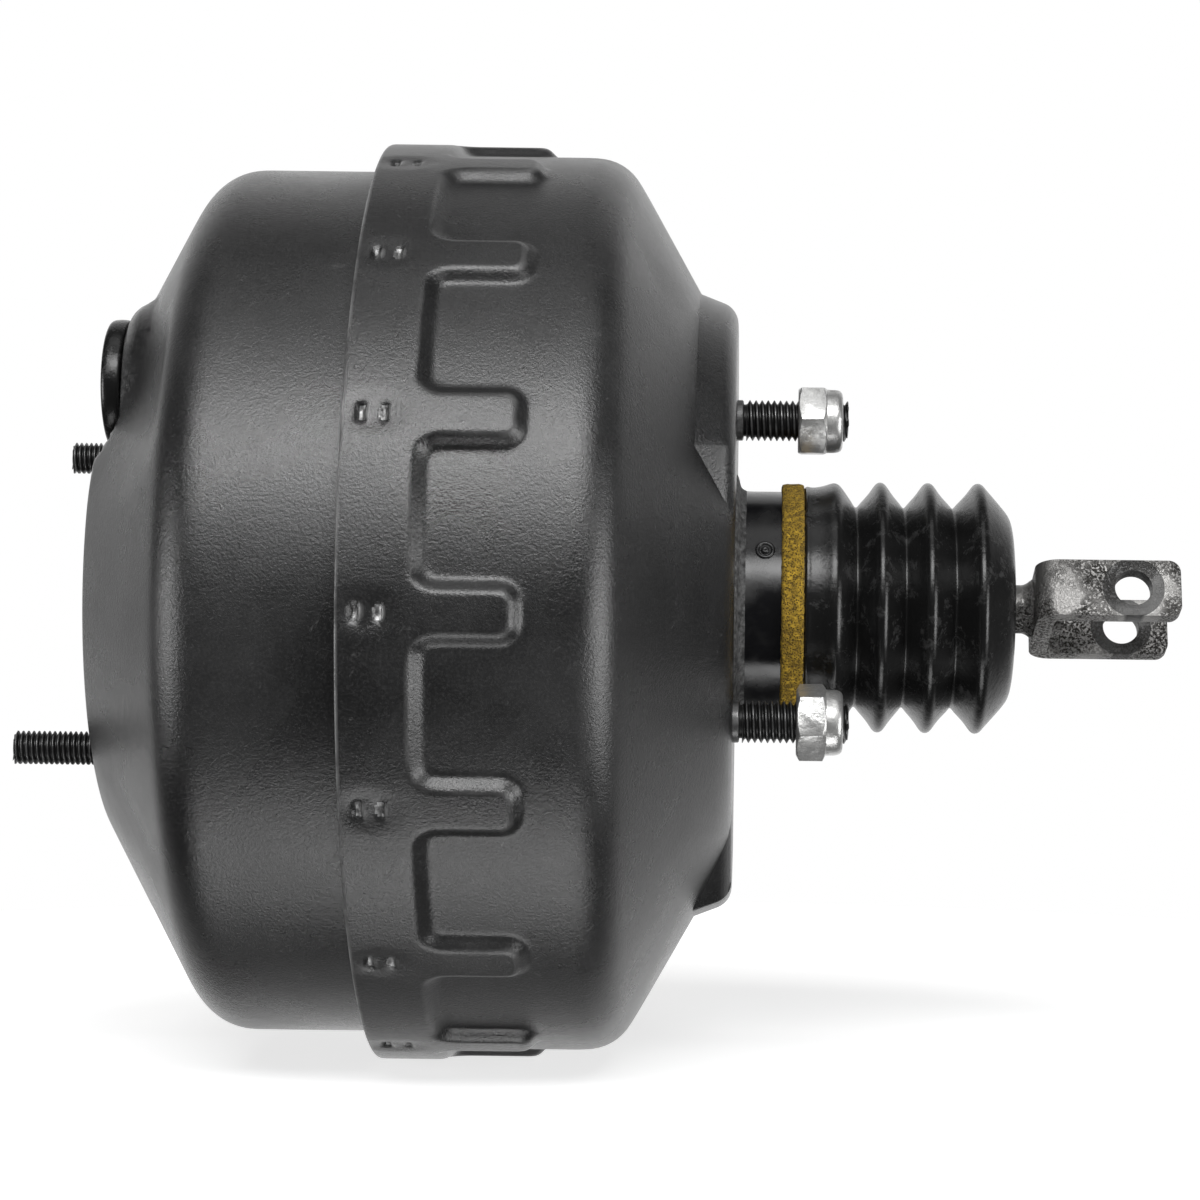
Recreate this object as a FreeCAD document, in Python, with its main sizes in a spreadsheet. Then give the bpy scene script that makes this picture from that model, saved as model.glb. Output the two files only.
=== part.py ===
import FreeCAD, Part
import math
import os
import Sketcher

# Vacuum brake booster, real size in mm.
# X runs along the booster's axis, with X = 0 on the face that bolts to the firewall
# and +X towards the pedal. +Z is up. The row's front, at -Y, is the side a viewer sees.

doc = FreeCAD.newDocument("brake_booster")
sheet = doc.addObject("Spreadsheet::Sheet", "Sizes")
nodes = []


# Every size that can be set by itself, and what follows from it, in mm and degrees.
SIZES = {
    # Rear shell: a deep drawn pan with a wide rim band that wraps the front shell
    "booster_width": 224.6,
    "band_radius": "=booster_width / 2",
    "finger_rise": 2.7,
    "drum_radius": "=band_radius - finger_rise",
    "rear_wall": 2.0,
    "flange_x": -78.8,
    "seam_overlap": 5.8,
    "seam_x": "=flange_x - seam_overlap",
    "band_length": 18,
    "band_end_x": "=seam_x + band_length",
    "band_step": 3,
    "drum_start_x": "=band_end_x + band_step",
    "shoulder_x": -27.7,
    "shoulder_bend": 12,
    "cone_radius": 60.6,
    "cone_angle": "=atan((drum_radius - cone_radius) / -shoulder_x)",
    "cone_inner_radius": "=cone_radius + rear_wall * tan(cone_angle) - rear_wall / cos(cone_angle)",
    "shoulder_shift": "=rear_wall * tan(cone_angle / 2)",
    "band_angle": "=atan((band_radius - drum_radius) / (drum_start_x - band_end_x))",
    "band_shift": "=rear_wall * tan(band_angle / 2)",
    "neck_radius": 28.4,
    "neck_end_x": 24,
    "neck_bend": 2.2,
    # The raised pad round the studs: a disc with a flat beside each lower stud
    "pad_radius": 73.3,
    "pad_flat": 45.6,
    "pad_flat_angle": 202.3,
    "pad_mirror_angle": 95.3,
    "pad_draft": 27,
    "pad_depth": 12,
    "pad_inset": "=rear_wall / cos(pad_draft) - rear_wall * tan(pad_draft)",
    "pad_bend": 3.5,
    # The fingers that stand at the band's height between the sunk panels
    "finger_count": 16,
    "finger_turn": 1.2,
    "finger_end_x": -45.7,
    "finger_width": 7.5,
    "finger_draft": 32,
    "finger_inset": "=rear_wall / cos(finger_draft) - rear_wall * tan(finger_draft)",
    "finger_root": 4.5,
    # The lances that lock the band over the front shell's flange
    "lance_length": 4.4,
    "lance_width": 6,
    "lance_depth": 1.1,
    "lance_inset": 2.8,
    "lance_x": "=seam_x + lance_inset",
    "punch_length": 2.6,
    "punch_width": 4,
    "punch_inset": 10,
    "punch_x": "=seam_x + punch_inset",
    "hook_depth": 2.2,
    # Front shell
    "housing_depth": 149.5,
    "front_x": "=0 - housing_depth",
    "front_wall": 1.8,
    "front_drum_step": 6.7,
    "front_radius": "=band_radius - front_drum_step",
    "front_cone_depth": 26.6,
    "front_shoulder_x": "=front_x + front_cone_depth",
    "front_shoulder_bend": 13,
    "front_cone_radius": 59.1,
    "front_bend": 3,
    "front_angle": "=atan((front_radius - front_cone_radius) / (front_shoulder_x - front_x))",
    "front_cone_inner": "=front_cone_radius + front_wall * tan(front_angle) - front_wall / cos(front_angle)",
    "front_shift": "=front_wall * tan(front_angle / 2)",
    "flange_gap": 0.3,
    "flange_radius": "=band_radius - rear_wall - flange_gap",
    "front_bore": 25,
    # The boss pressed into the cone for the vacuum grommet
    "boss_y": -40,
    "boss_z": 50,
    "boss_radius": 20.8,
    "boss_set_back": 6,
    "boss_x": "=front_x + boss_set_back",
    "boss_depth": 20,
    "boss_bend": 2.4,
    "boss_slope": 44,
    "grommet_hole": 12.7,
    "grommet_radius": "=grommet_hole + 3.6",
    "grommet_thickness": 4.5,
    "grommet_bore": 8.5,
    "grommet_lip": "=grommet_hole + 2.1",
    "grommet_lip_thickness": 2.6,
    # Stiffeners and studs
    "front_stiffener_thickness": 2.5,
    "front_stiffener_radius": "=front_cone_radius - 3.1",
    "front_pitch_radius": 47,
    "front_stud_angle": -40.2,
    "front_stud_radius": 4,
    "front_knurl_radius": 4.6,
    "front_head_radius": 7.5,
    "front_head_thickness": 2.8,
    "front_stud_length": 21.5,
    "front_tip_x": "=front_x - front_stud_length",
    "rear_stiffener_thickness": 2.5,
    "rear_stiffener_inner": "=neck_radius + 0.6",
    "rear_stiffener_radius": "=cone_radius - 3.6",
    "rear_pitch_radius": 46,
    "rear_stud_angle": 6.5,
    "rear_stud_radius": 5,
    "rear_pitch_zone": 4.55,
    "nut_x": 15,
    "nut_length": 11,
    "rear_zone_x": "=nut_x - 0.7",
    "rear_knurl_radius": 5.6,
    "rear_head_radius": 8.5,
    "rear_head_thickness": 3.2,
    "rear_stud_reach": 2,
    "rear_tip_x": "=nut_x + nut_length + rear_stud_reach",
    "stud_tip": 1.1,
    "press_gap": 0.12,
    # Locking nuts: a hexagon with a round collar that holds a nylon ring
    "nut_hex_length": 7,
    "nut_flats": 16,
    "nut_gap": 0.05,
    "nut_collar_step": 0.2,
    "nut_collar_radius": "=nut_flats / 2 - nut_collar_step",
    "nut_recess_radius": "=nut_collar_radius - 1.3",
    "nut_recess_depth": 2.6,
    "nut_near_turn": 18,
    "nut_upper_turn": 0,
    # Dust boot and foam ring
    "boot_x": 16.8,
    "foam_length": 5.6,
    "foam_x": "=boot_x - foam_length",
    "foam_outer": "=neck_radius + 1.9",
    "boot_wall": 1.2,
    "boot_mouth_radius": "=neck_radius + boot_wall + 0.1",
    "boot_fold_rise": 1.3,
    "boot_fold_depth": 6.5,
    "boot_peak": "=boot_mouth_radius + boot_fold_rise",
    "boot_valley": "=boot_peak - boot_fold_depth",
    "boot_cuff": 9.7,
    "boot_first_peak_x": "=boot_x + boot_cuff",
    "boot_first_valley_x": "=boot_first_peak_x + 3.1",
    "boot_fold": 5.9,
    "boot_shoulder_x": "=boot_first_valley_x + 5 * boot_fold + 5.4",
    "boot_shoulder_radius": "=boot_valley + 0.1",
    "boot_cone_x": "=boot_shoulder_x + 3",
    "boot_cone_radius": "=boot_shoulder_radius - 7.8",
    "boot_end_x": "=boot_cone_x + 0.8",
    "boot_hole": 12.3,
    # Centre wall, diaphragms and power piston
    "rim_gap": 0.1,
    "bead_front_x": "=flange_x + 5.3",
    "centre_plate_wall": 1.5,
    "centre_rim_radius": "=flange_radius - 0.2",
    "centre_well_radius": "=front_radius - 4.6",
    "centre_disc_x": "=bead_front_x - 12.5",
    "bead_rear_end_x": "=bead_front_x + 5.7",
    "rubber_wall": 1.4,
    "plate_wall": 1.6,
    "hub_radius": 27,
    "centre_hole": "=hub_radius + 6",
    "front_rim_x": "=centre_disc_x - 10",
    "front_plate_x": "=front_rim_x + 4",
    "hub_front_x": "=front_plate_x",
    "hub_end_x": -30,
    "sleeve_radius": "=hub_radius - 2.5",
    "stop_x": -1.8,
    "seal_room": 5.9,
    "tail_radius": "=neck_radius - rear_wall - seal_room",
    "tail_end_x": 44,
    "tail_wall": 3.5,
    "tail_bore": "=tail_radius - tail_wall",
    "seal_gap": 0.05,
    "slide_gap": 0.05,
    "nose_bore": 14.5,
    "disc_rear_x": -46,
    "disc_thickness": 4,
    "disc_front_x": "=disc_rear_x - disc_thickness",
    "ball_x": -20,
    "ball_radius": 6.5,
    "plunger_radius": "=ball_radius + 3",
    "socket_end_x": "=ball_x + 3.5",
    "seat_wall_x": -24.5,
    "front_roll": 15.6,
    "front_plate_radius": "=front_radius - front_roll",
    "rear_plate_x": "=hub_end_x - 3",
    "rear_roll": 12.6,
    "rear_plate_radius": "=drum_radius - rear_roll",
    "rear_plate_rim_x": "=rear_plate_x - 12",
    # Pedal rod and fork
    "rod_neck": 4,
    "rod_mid": 5,
    "rod_radius": 6,
    "rod_stick_out": 5.1,
    "rod_thick_x": "=boot_cone_x - 6.5",
    "rod_flare_x": "=boot_end_x + rod_stick_out",
    "rod_groove_x": "=rod_flare_x - 1.5",
    "rod_groove_end_x": "=rod_groove_x + 0.6",
    "rod_groove_radius": "=rod_radius - 0.6",
    "rod_flare": 7.4,
    "spigot_radius": 4.5,
    "rivet_radius": "=spigot_radius + 2.5",
    "rivet_length": 3,
    "fork_x": "=rod_flare_x + 0.2",
    "fork_length": 35.1,
    "fork_end_x": "=fork_x + fork_length",
    "fork_plate": 4.5,
    "fork_half_width": 16,
    "fork_height": 14.5,
    "fork_bend": 5.6,
    "fork_corner": 3,
    "fork_turn": -20.5,
    "pin_reach": 23.4,
    "pin_x": "=fork_x + pin_reach",
    "pin_hole": 4.5,
    # Half widths and reaches that several sketches share
    "finger_half": "=finger_width / 2",
    "finger_half_in": "=finger_width / 2 - finger_inset",
    "lance_half": "=lance_width / 2",
    "punch_half": "=punch_width / 2",
    "hook_half": "=lance_width / 2 - 0.6",
    "nut_flats_half": "=nut_flats / 2",
    "nut_reach": "=nut_flats / 2 / cos(30)",
    # Stop key, plunger, output rod and valve
    "key_x": -30.5,
    "key_thickness": 3,
    "key_half": 7,
    "key_gap": 0.15,
    "key_fork": 6.4,
    "key_length": 14,
    "plunger_x": "=disc_rear_x + 1.5",
    "output_tip_inset": 6.5,
    "output_tip_x": "=front_x + output_tip_inset",
    "output_rod_radius": 6,
    "poppet_x": -16.2,
    "seat_x": 16,
    "filter_x": 19,
    "filter_length": 11,
    "filter_hole": 9.5,
}

for row, (name, amount) in enumerate(SIZES.items(), 1):
    cell = "B%d" % row
    sheet.set("A%d" % row, name)
    sheet.set(cell, str(amount))
    sheet.setAlias(cell, name)
doc.recompute()


def terms(text):
    """Splits a sum such as "seam_x + rear_wall - 2" into signed words."""
    sign = 1
    for word in text.split():
        if word in ("+", "-"):
            sign = 1 if word == "+" else -1
            continue
        yield (sign, word) if word[0] != "-" else (-sign, word[1:])
        sign = 1


def number(text):
    """The present value of a sum of sizes and plain numbers."""
    total = 0.0
    for sign, word in terms(str(text)):
        total += sign * (getattr(sheet, word) if word[0].isalpha() else float(word))
    return total


def formula(text):
    """The same sum as an expression that an object can be bound to."""
    words = []
    for sign, word in terms(str(text)):
        name = "Sizes." + word if word[0].isalpha() else word
        words.append(("+ " if sign > 0 else "- ") + name)
    return "0 " + " ".join(words)


def body(label, node=True):
    """A new body. A body that is a node of its own is written as a STEP file."""
    made = doc.addObject("PartDesign::Body", label)
    made.Label = label
    if node:
        nodes.append(made)
    return made


def origin(owner, role):
    return [item for item in owner.Origin.OriginFeatures if item.Role == role][0]


def sketch(owner, plane="XZ_Plane", lift=None):
    """A sketch on one of the body's own planes, raised off it by lift."""
    plan = owner.newObject("Sketcher::SketchObject", owner.Name + "_plan")
    plan.AttachmentSupport = [(origin(owner, plane), "")]
    plan.MapMode = "FlatFace"
    if lift is not None:
        plan.AttachmentOffset = FreeCAD.Placement(FreeCAD.Vector(0, 0, number(lift)), FreeCAD.Rotation())
        plan.setExpression("AttachmentOffset.Base.z", formula(lift))
    return plan


class Rules:
    """Gathers a sketch's constraints, and binds the measured ones to the sheet."""

    def __init__(self, plan):
        self.plan = plan
        self.all = []
        self.bound = []

    def add(self, *parts):
        self.all.append(Sketcher.Constraint(*parts))

    def hold(self, text, *parts):
        self.bound.append((len(self.all), text))
        self.all.append(Sketcher.Constraint(*parts, number(text)))

    def apply(self):
        first = self.plan.ConstraintCount
        self.plan.addConstraint(self.all)
        for place, text in self.bound:
            self.plan.setExpression("Constraints[%d]" % (first + place), formula(text))


def unit(start, end):
    long = math.hypot(end[0] - start[0], end[1] - start[1])
    return ((end[0] - start[0]) / long, (end[1] - start[1]) / long)


def chain(plan, rules, spots, bends, closed):
    """Draws lines through the spots with tangent arcs at the bends, and returns the lines."""
    count = len(spots)
    last = count if closed else count - 1
    cut = []
    for place in range(count):
        inner = closed or 0 < place < count - 1
        if not (bends[place] and inner):
            cut.append(0.0)
            continue
        before = unit(spots[place - 1], spots[place])
        after = unit(spots[place], spots[(place + 1) % count])
        turn = math.acos(max(-1.0, min(1.0, before[0] * after[0] + before[1] * after[1])))
        cut.append(number(bends[place]) * math.tan(turn / 2))
    lines = []
    for place in range(last):
        start, end = spots[place], spots[(place + 1) % count]
        way = unit(start, end)
        nose, tail = cut[place], cut[(place + 1) % count]
        head = FreeCAD.Vector(start[0] + way[0] * nose, start[1] + way[1] * nose, 0)
        foot = FreeCAD.Vector(end[0] - way[0] * tail, end[1] - way[1] * tail, 0)
        lines.append(plan.addGeometry(Part.LineSegment(head, foot)))
    for place in range(count):
        if not closed and place in (0, count - 1):
            continue
        one, two = lines[place - 1], lines[place % len(lines)]
        if not cut[place]:
            rules.add("Coincident", one, 2, two, 1)
            continue
        before = unit(spots[place - 1], spots[place])
        after = unit(spots[place], spots[(place + 1) % count])
        left = before[0] * after[1] - before[1] * after[0] > 0
        bend = number(bends[place])
        side = bend if left else -bend
        middle_x = spots[place][0] - before[0] * cut[place] - before[1] * side
        middle_y = spots[place][1] - before[1] * cut[place] + before[0] * side
        enter = math.atan2(-before[0] * side, before[1] * side)
        leave = math.atan2(-after[0] * side, after[1] * side)
        ends = (enter, leave) if left else (leave, enter)
        circle = Part.Circle(FreeCAD.Vector(middle_x, middle_y, 0), FreeCAD.Vector(0, 0, 1), bend)
        arc = plan.addGeometry(Part.ArcOfCircle(circle, ends[0], ends[1]))
        rules.add("Tangent", one, 2, arc, 1 if left else 2)
        rules.add("Tangent", arc, 2 if left else 1, two, 1)
        rules.hold(bends[place], "Radius", arc)
    return lines


def pin(plan, rules, lines, corners, spots, bends, closed):
    """Fixes each corner of a chain to its named place."""
    for place, corner in enumerate(corners):
        rounded = bends[place] and (closed or 0 < place < len(corners) - 1)
        if rounded:
            point = plan.addGeometry(Part.Point(FreeCAD.Vector(spots[place][0], spots[place][1], 0)), True)
            rules.add("PointOnObject", point, 1, lines[place - 1])
            rules.add("PointOnObject", point, 1, lines[place % len(lines)])
            where = (point, 1)
        elif closed or place < len(corners) - 1:
            where = (lines[place], 1)
        else:
            where = (lines[-1], 2)
        rules.hold(corner[0], "DistanceX", *where)
        rules.hold(corner[1], "DistanceY", *where)


def outline(plan, *corners):
    """A closed outline. Each corner is (x, y) or (x, y, bend radius), in named sizes."""
    rules = Rules(plan)
    spots = [(number(corner[0]), number(corner[1])) for corner in corners]
    bends = [corner[2] if len(corner) > 2 else None for corner in corners]
    lines = chain(plan, rules, spots, bends, True)
    pin(plan, rules, lines, corners, spots, bends, True)
    rules.apply()
    return lines


def strip(plan, wall, *corners, left=False):
    """A bent sheet seen on edge: the named corners of one face, and a wall's thickness to its side."""
    rules = Rules(plan)
    spots = [(number(corner[0]), number(corner[1])) for corner in corners]
    bends = [corner[2] if len(corner) > 2 else None for corner in corners]
    lines = chain(plan, rules, spots, bends, False)
    pin(plan, rules, lines, corners, spots, bends, False)
    thick = number(wall) * (1 if left else -1)
    ways = [unit(spots[place], spots[place + 1]) for place in range(len(spots) - 1)]
    others, other_bends = [], []
    for place, spot in enumerate(spots):
        before = ways[max(place - 1, 0)]
        after = ways[min(place, len(ways) - 1)]
        share = thick / (1 + before[0] * after[0] + before[1] * after[1])
        others.append((spot[0] - (before[1] + after[1]) * share, spot[1] + (before[0] + after[0]) * share))
        turn = (before[0] * after[1] - before[1] * after[0]) * thick
        bend = bends[place]
        other_bends.append(None if not bend else str(bend) + (" - " if turn > 0 else " + ") + wall)
    second = chain(plan, rules, others, other_bends, False)
    for one, two in zip(lines, second):
        rules.add("Parallel", one, two)
        rules.hold(wall, "Distance", one, 1, two)
    for end in (1, 2):
        one, two = (lines[0], second[0]) if end == 1 else (lines[-1], second[-1])
        start, stop = (spots[0], others[0]) if end == 1 else (spots[-1], others[-1])
        head, foot = FreeCAD.Vector(start[0], start[1], 0), FreeCAD.Vector(stop[0], stop[1], 0)
        cap = plan.addGeometry(Part.LineSegment(head, foot))
        rules.add("Coincident", one, end, cap, 1)
        rules.add("Coincident", two, end, cap, 2)
        rules.add("Perpendicular", one, cap)
    rules.apply()


def circle(plan, across, up, radius):
    """A circle, drawn about a named point."""
    middle = FreeCAD.Vector(number(across), number(up), 0)
    ring = plan.addGeometry(Part.Circle(middle, FreeCAD.Vector(0, 0, 1), number(radius)))
    rules = Rules(plan)
    if number(across) == 0 and number(up) == 0:
        rules.add("Coincident", ring, 3, -1, 1)
    else:
        rules.hold(across, "DistanceX", ring, 3)
        rules.hold(up, "DistanceY", ring, 3)
    rules.hold(radius, "Radius", ring)
    rules.apply()


# Half length of the construction lines that features turn about
AXIS_REACH = 10


def axis_line(plan, up):
    """A construction line along X at the height up, for features that turn about it."""
    start, end = FreeCAD.Vector(-AXIS_REACH, number(up), 0), FreeCAD.Vector(AXIS_REACH, number(up), 0)
    line = plan.addGeometry(Part.LineSegment(start, end), True)
    rules = Rules(plan)
    rules.add("Horizontal", line)
    rules.add("DistanceX", line, 1, -AXIS_REACH)
    rules.add("DistanceX", line, 2, AXIS_REACH)
    rules.hold(up, "DistanceY", line, 1)
    rules.apply()


def turned(owner, plan, cut=False, about="H_Axis"):
    """Turns a sketch once round: material added, or cut away."""
    kind = "PartDesign::Groove" if cut else "PartDesign::Revolution"
    made = owner.newObject(kind, owner.Name + ("_groove" if cut else "_turned"))
    made.Profile = plan
    made.ReferenceAxis = (plan, [about])
    made.Angle = 360
    plan.Visibility = False
    return made


def pressed(owner, plan, depth, cut=False, backwards=False, draft=None, midplane=False):
    """Pads or pockets a sketch by a named depth, with drafted walls if asked."""
    kind = "PartDesign::Pocket" if cut else "PartDesign::Pad"
    made = owner.newObject(kind, owner.Name + ("_pocket" if cut else "_pad"))
    made.Profile = plan
    made.setExpression("Length", formula(depth))
    made.Reversed = backwards
    if midplane:
        made.Midplane = True
    if draft:
        made.setExpression("TaperAngle", formula(draft))
    plan.Visibility = False
    return made


def repeated(owner, feature, count):
    """Repeats a feature round the booster's axis."""
    made = owner.newObject("PartDesign::PolarPattern", owner.Name + "_ring")
    made.Originals = [feature]
    made.Axis = (origin(owner, "X_Axis"), [""])
    made.Angle = 360
    made.setExpression("Occurrences", formula(count))
    owner.Tip = made
    return made


def turn_by(owner, angle):
    """Turns a whole body about the booster's axis."""
    turn = FreeCAD.Rotation(FreeCAD.Vector(1, 0, 0), number(angle))
    owner.Placement = FreeCAD.Placement(FreeCAD.Vector(0, 0, 0), turn)
    owner.setExpression("Placement.Rotation.Angle", formula(angle))


def rounded(owner, feature, chosen, bend):
    """Rounds the edges that the test chooses."""
    doc.recompute()
    names = []
    for place, edge in enumerate(feature.Shape.Edges):
        if chosen(edge):
            names.append("Edge%d" % (place + 1))
    made = owner.newObject("PartDesign::Fillet", owner.Name + "_round")
    made.Base = (feature, names)
    made.setExpression("Radius", formula(bend))
    return made


def ring_node(label, *corners):
    """A node turned from one closed outline."""
    made = body(label)
    plan = sketch(made)
    outline(plan, *corners)
    turned(made, plan)
    return made


def sheet_node(label, wall, *corners, left=False):
    """A node turned from one bent sheet."""
    made = body(label)
    plan = sketch(made)
    strip(plan, wall, *corners, left=left)
    turned(made, plan)
    return made


def less(label, base, tool):
    """A node made by taking one solid from another."""
    made = doc.addObject("Part::Cut", label)
    made.Label = label
    made.Base = base
    made.Tool = tool
    nodes.append(made)
    return made


def pad_outline(plan, radius, flat):
    """The stud pad's outline: a circle with two flats."""
    near = number("pad_flat_angle")
    far = 2 * number("pad_mirror_angle") - near
    half = math.degrees(math.acos(number(flat) / number(radius)))
    full, up = number(radius), FreeCAD.Vector(0, 0, 1)

    def rim(angle):
        turn = math.radians(angle)
        return FreeCAD.Vector(full * math.cos(turn), full * math.sin(turn), 0)

    round_circle = Part.Circle(FreeCAD.Vector(0, 0, 0), up, full)
    upper = Part.ArcOfCircle(round_circle, math.radians(far + half), math.radians(near - half))
    lower = Part.ArcOfCircle(round_circle, math.radians(near + half), math.radians(far - half + 360))
    top = plan.addGeometry(upper)
    side = plan.addGeometry(Part.LineSegment(rim(near - half), rim(near + half)))
    low = plan.addGeometry(lower)
    other = plan.addGeometry(Part.LineSegment(rim(far - half), rim(far + half)))
    rules = Rules(plan)
    for one, two in ((top, side), (side, low), (low, other), (other, top)):
        rules.add("Coincident", one, 2, two, 1)
    for arc in (top, low):
        rules.add("Coincident", arc, 3, -1, 1)
        rules.hold(radius, "Radius", arc)
    for line in (side, other):
        rules.hold(flat, "Distance", -1, 1, line)
    rules.apply()
    for line, text in ((side, near), (other, far)):
        place = plan.addConstraint(Sketcher.Constraint("Angle", line, math.radians((text + 90) % 360)))
        near_text = "Sizes.pad_flat_angle + 90"
        far_text = "2 * Sizes.pad_mirror_angle - Sizes.pad_flat_angle + 90"
        plan.setExpression("Constraints[%d]" % place, near_text if line == side else far_text)


def rear_solid(label, inset):
    """The rear shell's form as a full solid: its outside, or the hollow inside it."""
    made = body(label, node=False)
    wall = " - rear_wall" if inset else ""
    plan = sketch(made)
    if inset:
        outline(
            plan,
            ("seam_x - 3", "0"),
            ("seam_x - 3", "band_radius - rear_wall"),
            ("band_end_x - band_shift", "band_radius - rear_wall"),
            ("drum_start_x - band_shift", "drum_radius - rear_wall"),
            ("shoulder_x - shoulder_shift", "drum_radius - rear_wall", "shoulder_bend - rear_wall"),
            ("-rear_wall", "cone_inner_radius"),
            ("-rear_wall", "neck_radius - rear_wall"),
            ("neck_end_x + 3", "neck_radius - rear_wall"),
            ("neck_end_x + 3", "0"),
        )
    else:
        outline(
            plan,
            ("seam_x", "0"),
            ("seam_x", "band_radius"),
            ("band_end_x", "band_radius", "2.5"),
            ("drum_start_x", "drum_radius", "1.5"),
            ("shoulder_x", "drum_radius", "shoulder_bend"),
            ("0", "cone_radius"),
            ("0", "neck_radius", "neck_bend"),
            ("neck_end_x", "neck_radius"),
            ("neck_end_x", "0"),
        )
    turned(made, plan)
    plan = sketch(made, "YZ_Plane", "-rear_wall" if inset else "0")
    sunk = " - pad_inset" if inset else ""
    pad_outline(plan, "pad_radius" + sunk, "pad_flat" + sunk)
    raised = pressed(made, plan, "pad_depth", backwards=True, draft="pad_draft")
    if not inset:
        full = number("pad_radius")

        def on_face(edge):
            spot = edge.valueAt((edge.FirstParameter + edge.LastParameter) / 2)
            wide = math.hypot(spot.y, spot.z)
            return abs(edge.BoundBox.XMin) < 0.01 and edge.BoundBox.XLength < 0.01 and wide > full - 0.5

        rounded(made, raised, on_face, "pad_bend")
    half = "finger_half_in" if inset else "finger_half"
    tip = "finger_end_x - finger_inset" if inset else "finger_end_x"
    plan = sketch(made, "XY_Plane", "band_radius" + wall)
    outline(
        plan,
        ("band_end_x - 4", "-" + half),
        (tip, "-" + half, half + " - 1"),
        (tip, half, half + " - 1"),
        ("band_end_x - 4", half),
    )
    finger = pressed(made, plan, "finger_root", backwards=True, draft="finger_draft")
    repeated(made, finger, "finger_count")
    return made


def rear_shell():
    outside = rear_solid("rear_outside", False)
    # Each finger's line carries a torn lance and a small punch, sunk in the band
    marks = (("lance_x", "lance_length", "lance_half"), ("punch_x", "punch_length", "punch_half"))
    for start, long, half in marks:
        plan = sketch(outside, "XY_Plane", "band_radius + 1")
        outline(
            plan,
            (start, "-" + half),
            (start + " + " + long, "-" + half),
            (start + " + " + long, half),
            (start, half),
        )
        sunk = pressed(outside, plan, "lance_depth + 1", cut=True)
        repeated(outside, sunk, "finger_count")
    hollow = rear_solid("rear_hollow", True)
    # The lances' bent hooks are left standing in the hollow, in front of the flange
    plan = sketch(hollow, "XY_Plane", "band_radius - rear_wall + 1")
    outline(
        plan,
        ("lance_x - 0.6", "-hook_half"),
        ("flange_x - 0.3", "-hook_half"),
        ("flange_x - 0.3", "hook_half"),
        ("lance_x - 0.6", "hook_half"),
    )
    hook = pressed(hollow, plan, "hook_depth + 1", cut=True)
    repeated(hollow, hook, "finger_count")
    turn_by(outside, "finger_turn")
    turn_by(hollow, "finger_turn")
    shell = doc.addObject("Part::Cut", "rear_shell_pressing")
    shell.Base = outside
    shell.Tool = hollow
    holes = body("rear_stud_holes", node=False)
    plan = sketch(holes, "YZ_Plane", "-pad_depth")
    circle(plan, "0", "rear_pitch_radius", "rear_knurl_radius + press_gap")
    hole = pressed(holes, plan, "pad_depth + 2")
    repeated(holes, hole, "3")
    turn_by(holes, "rear_stud_angle")
    less("rear_shell", shell, holes)


def front_shell():
    outside = body("front_outside", node=False)
    plan = sketch(outside)
    outline(
        plan,
        ("front_x", "0"),
        ("front_x", "front_cone_radius", "front_bend"),
        ("front_shoulder_x", "front_radius", "front_shoulder_bend"),
        ("flange_x", "front_radius", "1.5"),
        ("flange_x", "flange_radius"),
        ("flange_x + front_wall", "flange_radius"),
        ("flange_x + front_wall", "0"),
    )
    turned(outside, plan)
    # The boss stands proud of the cone's outer side, with a broken edge, and is sunk on its inner side
    plan = sketch(outside, "YZ_Plane", "boss_x")
    circle(plan, "boss_y", "boss_z", "boss_radius - boss_bend")
    pressed(outside, plan, "boss_bend", draft="boss_slope")
    plan = sketch(outside, "YZ_Plane", "boss_x + boss_bend")
    circle(plan, "boss_y", "boss_z", "boss_radius")
    pressed(outside, plan, "boss_depth - boss_bend", draft="4")
    plan = sketch(outside, "YZ_Plane", "boss_x")
    circle(plan, "boss_y", "boss_z", "boss_radius")
    pressed(outside, plan, "boss_depth", cut=True, draft="-20")

    hollow = body("front_hollow", node=False)
    plan = sketch(hollow)
    outline(
        plan,
        ("front_x + front_wall", "0"),
        ("front_x + front_wall", "front_cone_inner", "front_bend + front_wall"),
        ("front_shoulder_x + front_shift", "front_radius - front_wall", "front_shoulder_bend - front_wall"),
        ("flange_x + 3", "front_radius - front_wall"),
        ("flange_x + 3", "0"),
    )
    turned(hollow, plan)
    plan = sketch(hollow, "YZ_Plane", "boss_x + front_wall")
    circle(plan, "boss_y", "boss_z", "boss_radius - front_wall")
    pressed(hollow, plan, "boss_depth - front_wall")
    plan = sketch(hollow, "YZ_Plane", "boss_x + front_wall")
    circle(plan, "boss_y", "boss_z", "boss_radius + front_wall")
    pressed(hollow, plan, "boss_depth", cut=True, draft="-20")
    pressing = doc.addObject("Part::Cut", "front_shell_pressing")
    pressing.Base = outside
    pressing.Tool = hollow
    holes = body("front_holes", node=False)
    plan = sketch(holes, "YZ_Plane", "front_x - 2")
    circle(plan, "0", "0", "front_bore")
    pressed(holes, plan, "8")
    plan = sketch(holes, "YZ_Plane", "front_x - 2")
    circle(plan, "0", "front_pitch_radius", "front_knurl_radius + press_gap")
    repeated(holes, pressed(holes, plan, "8"), "2")
    turn_by(holes, "front_stud_angle")
    drilled = doc.addObject("Part::Cut", "front_shell_drilled")
    drilled.Base = pressing
    drilled.Tool = holes
    less("front_shell", drilled, port_cylinder("port_hole", "grommet_hole", "boss_x - 5"))


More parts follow.
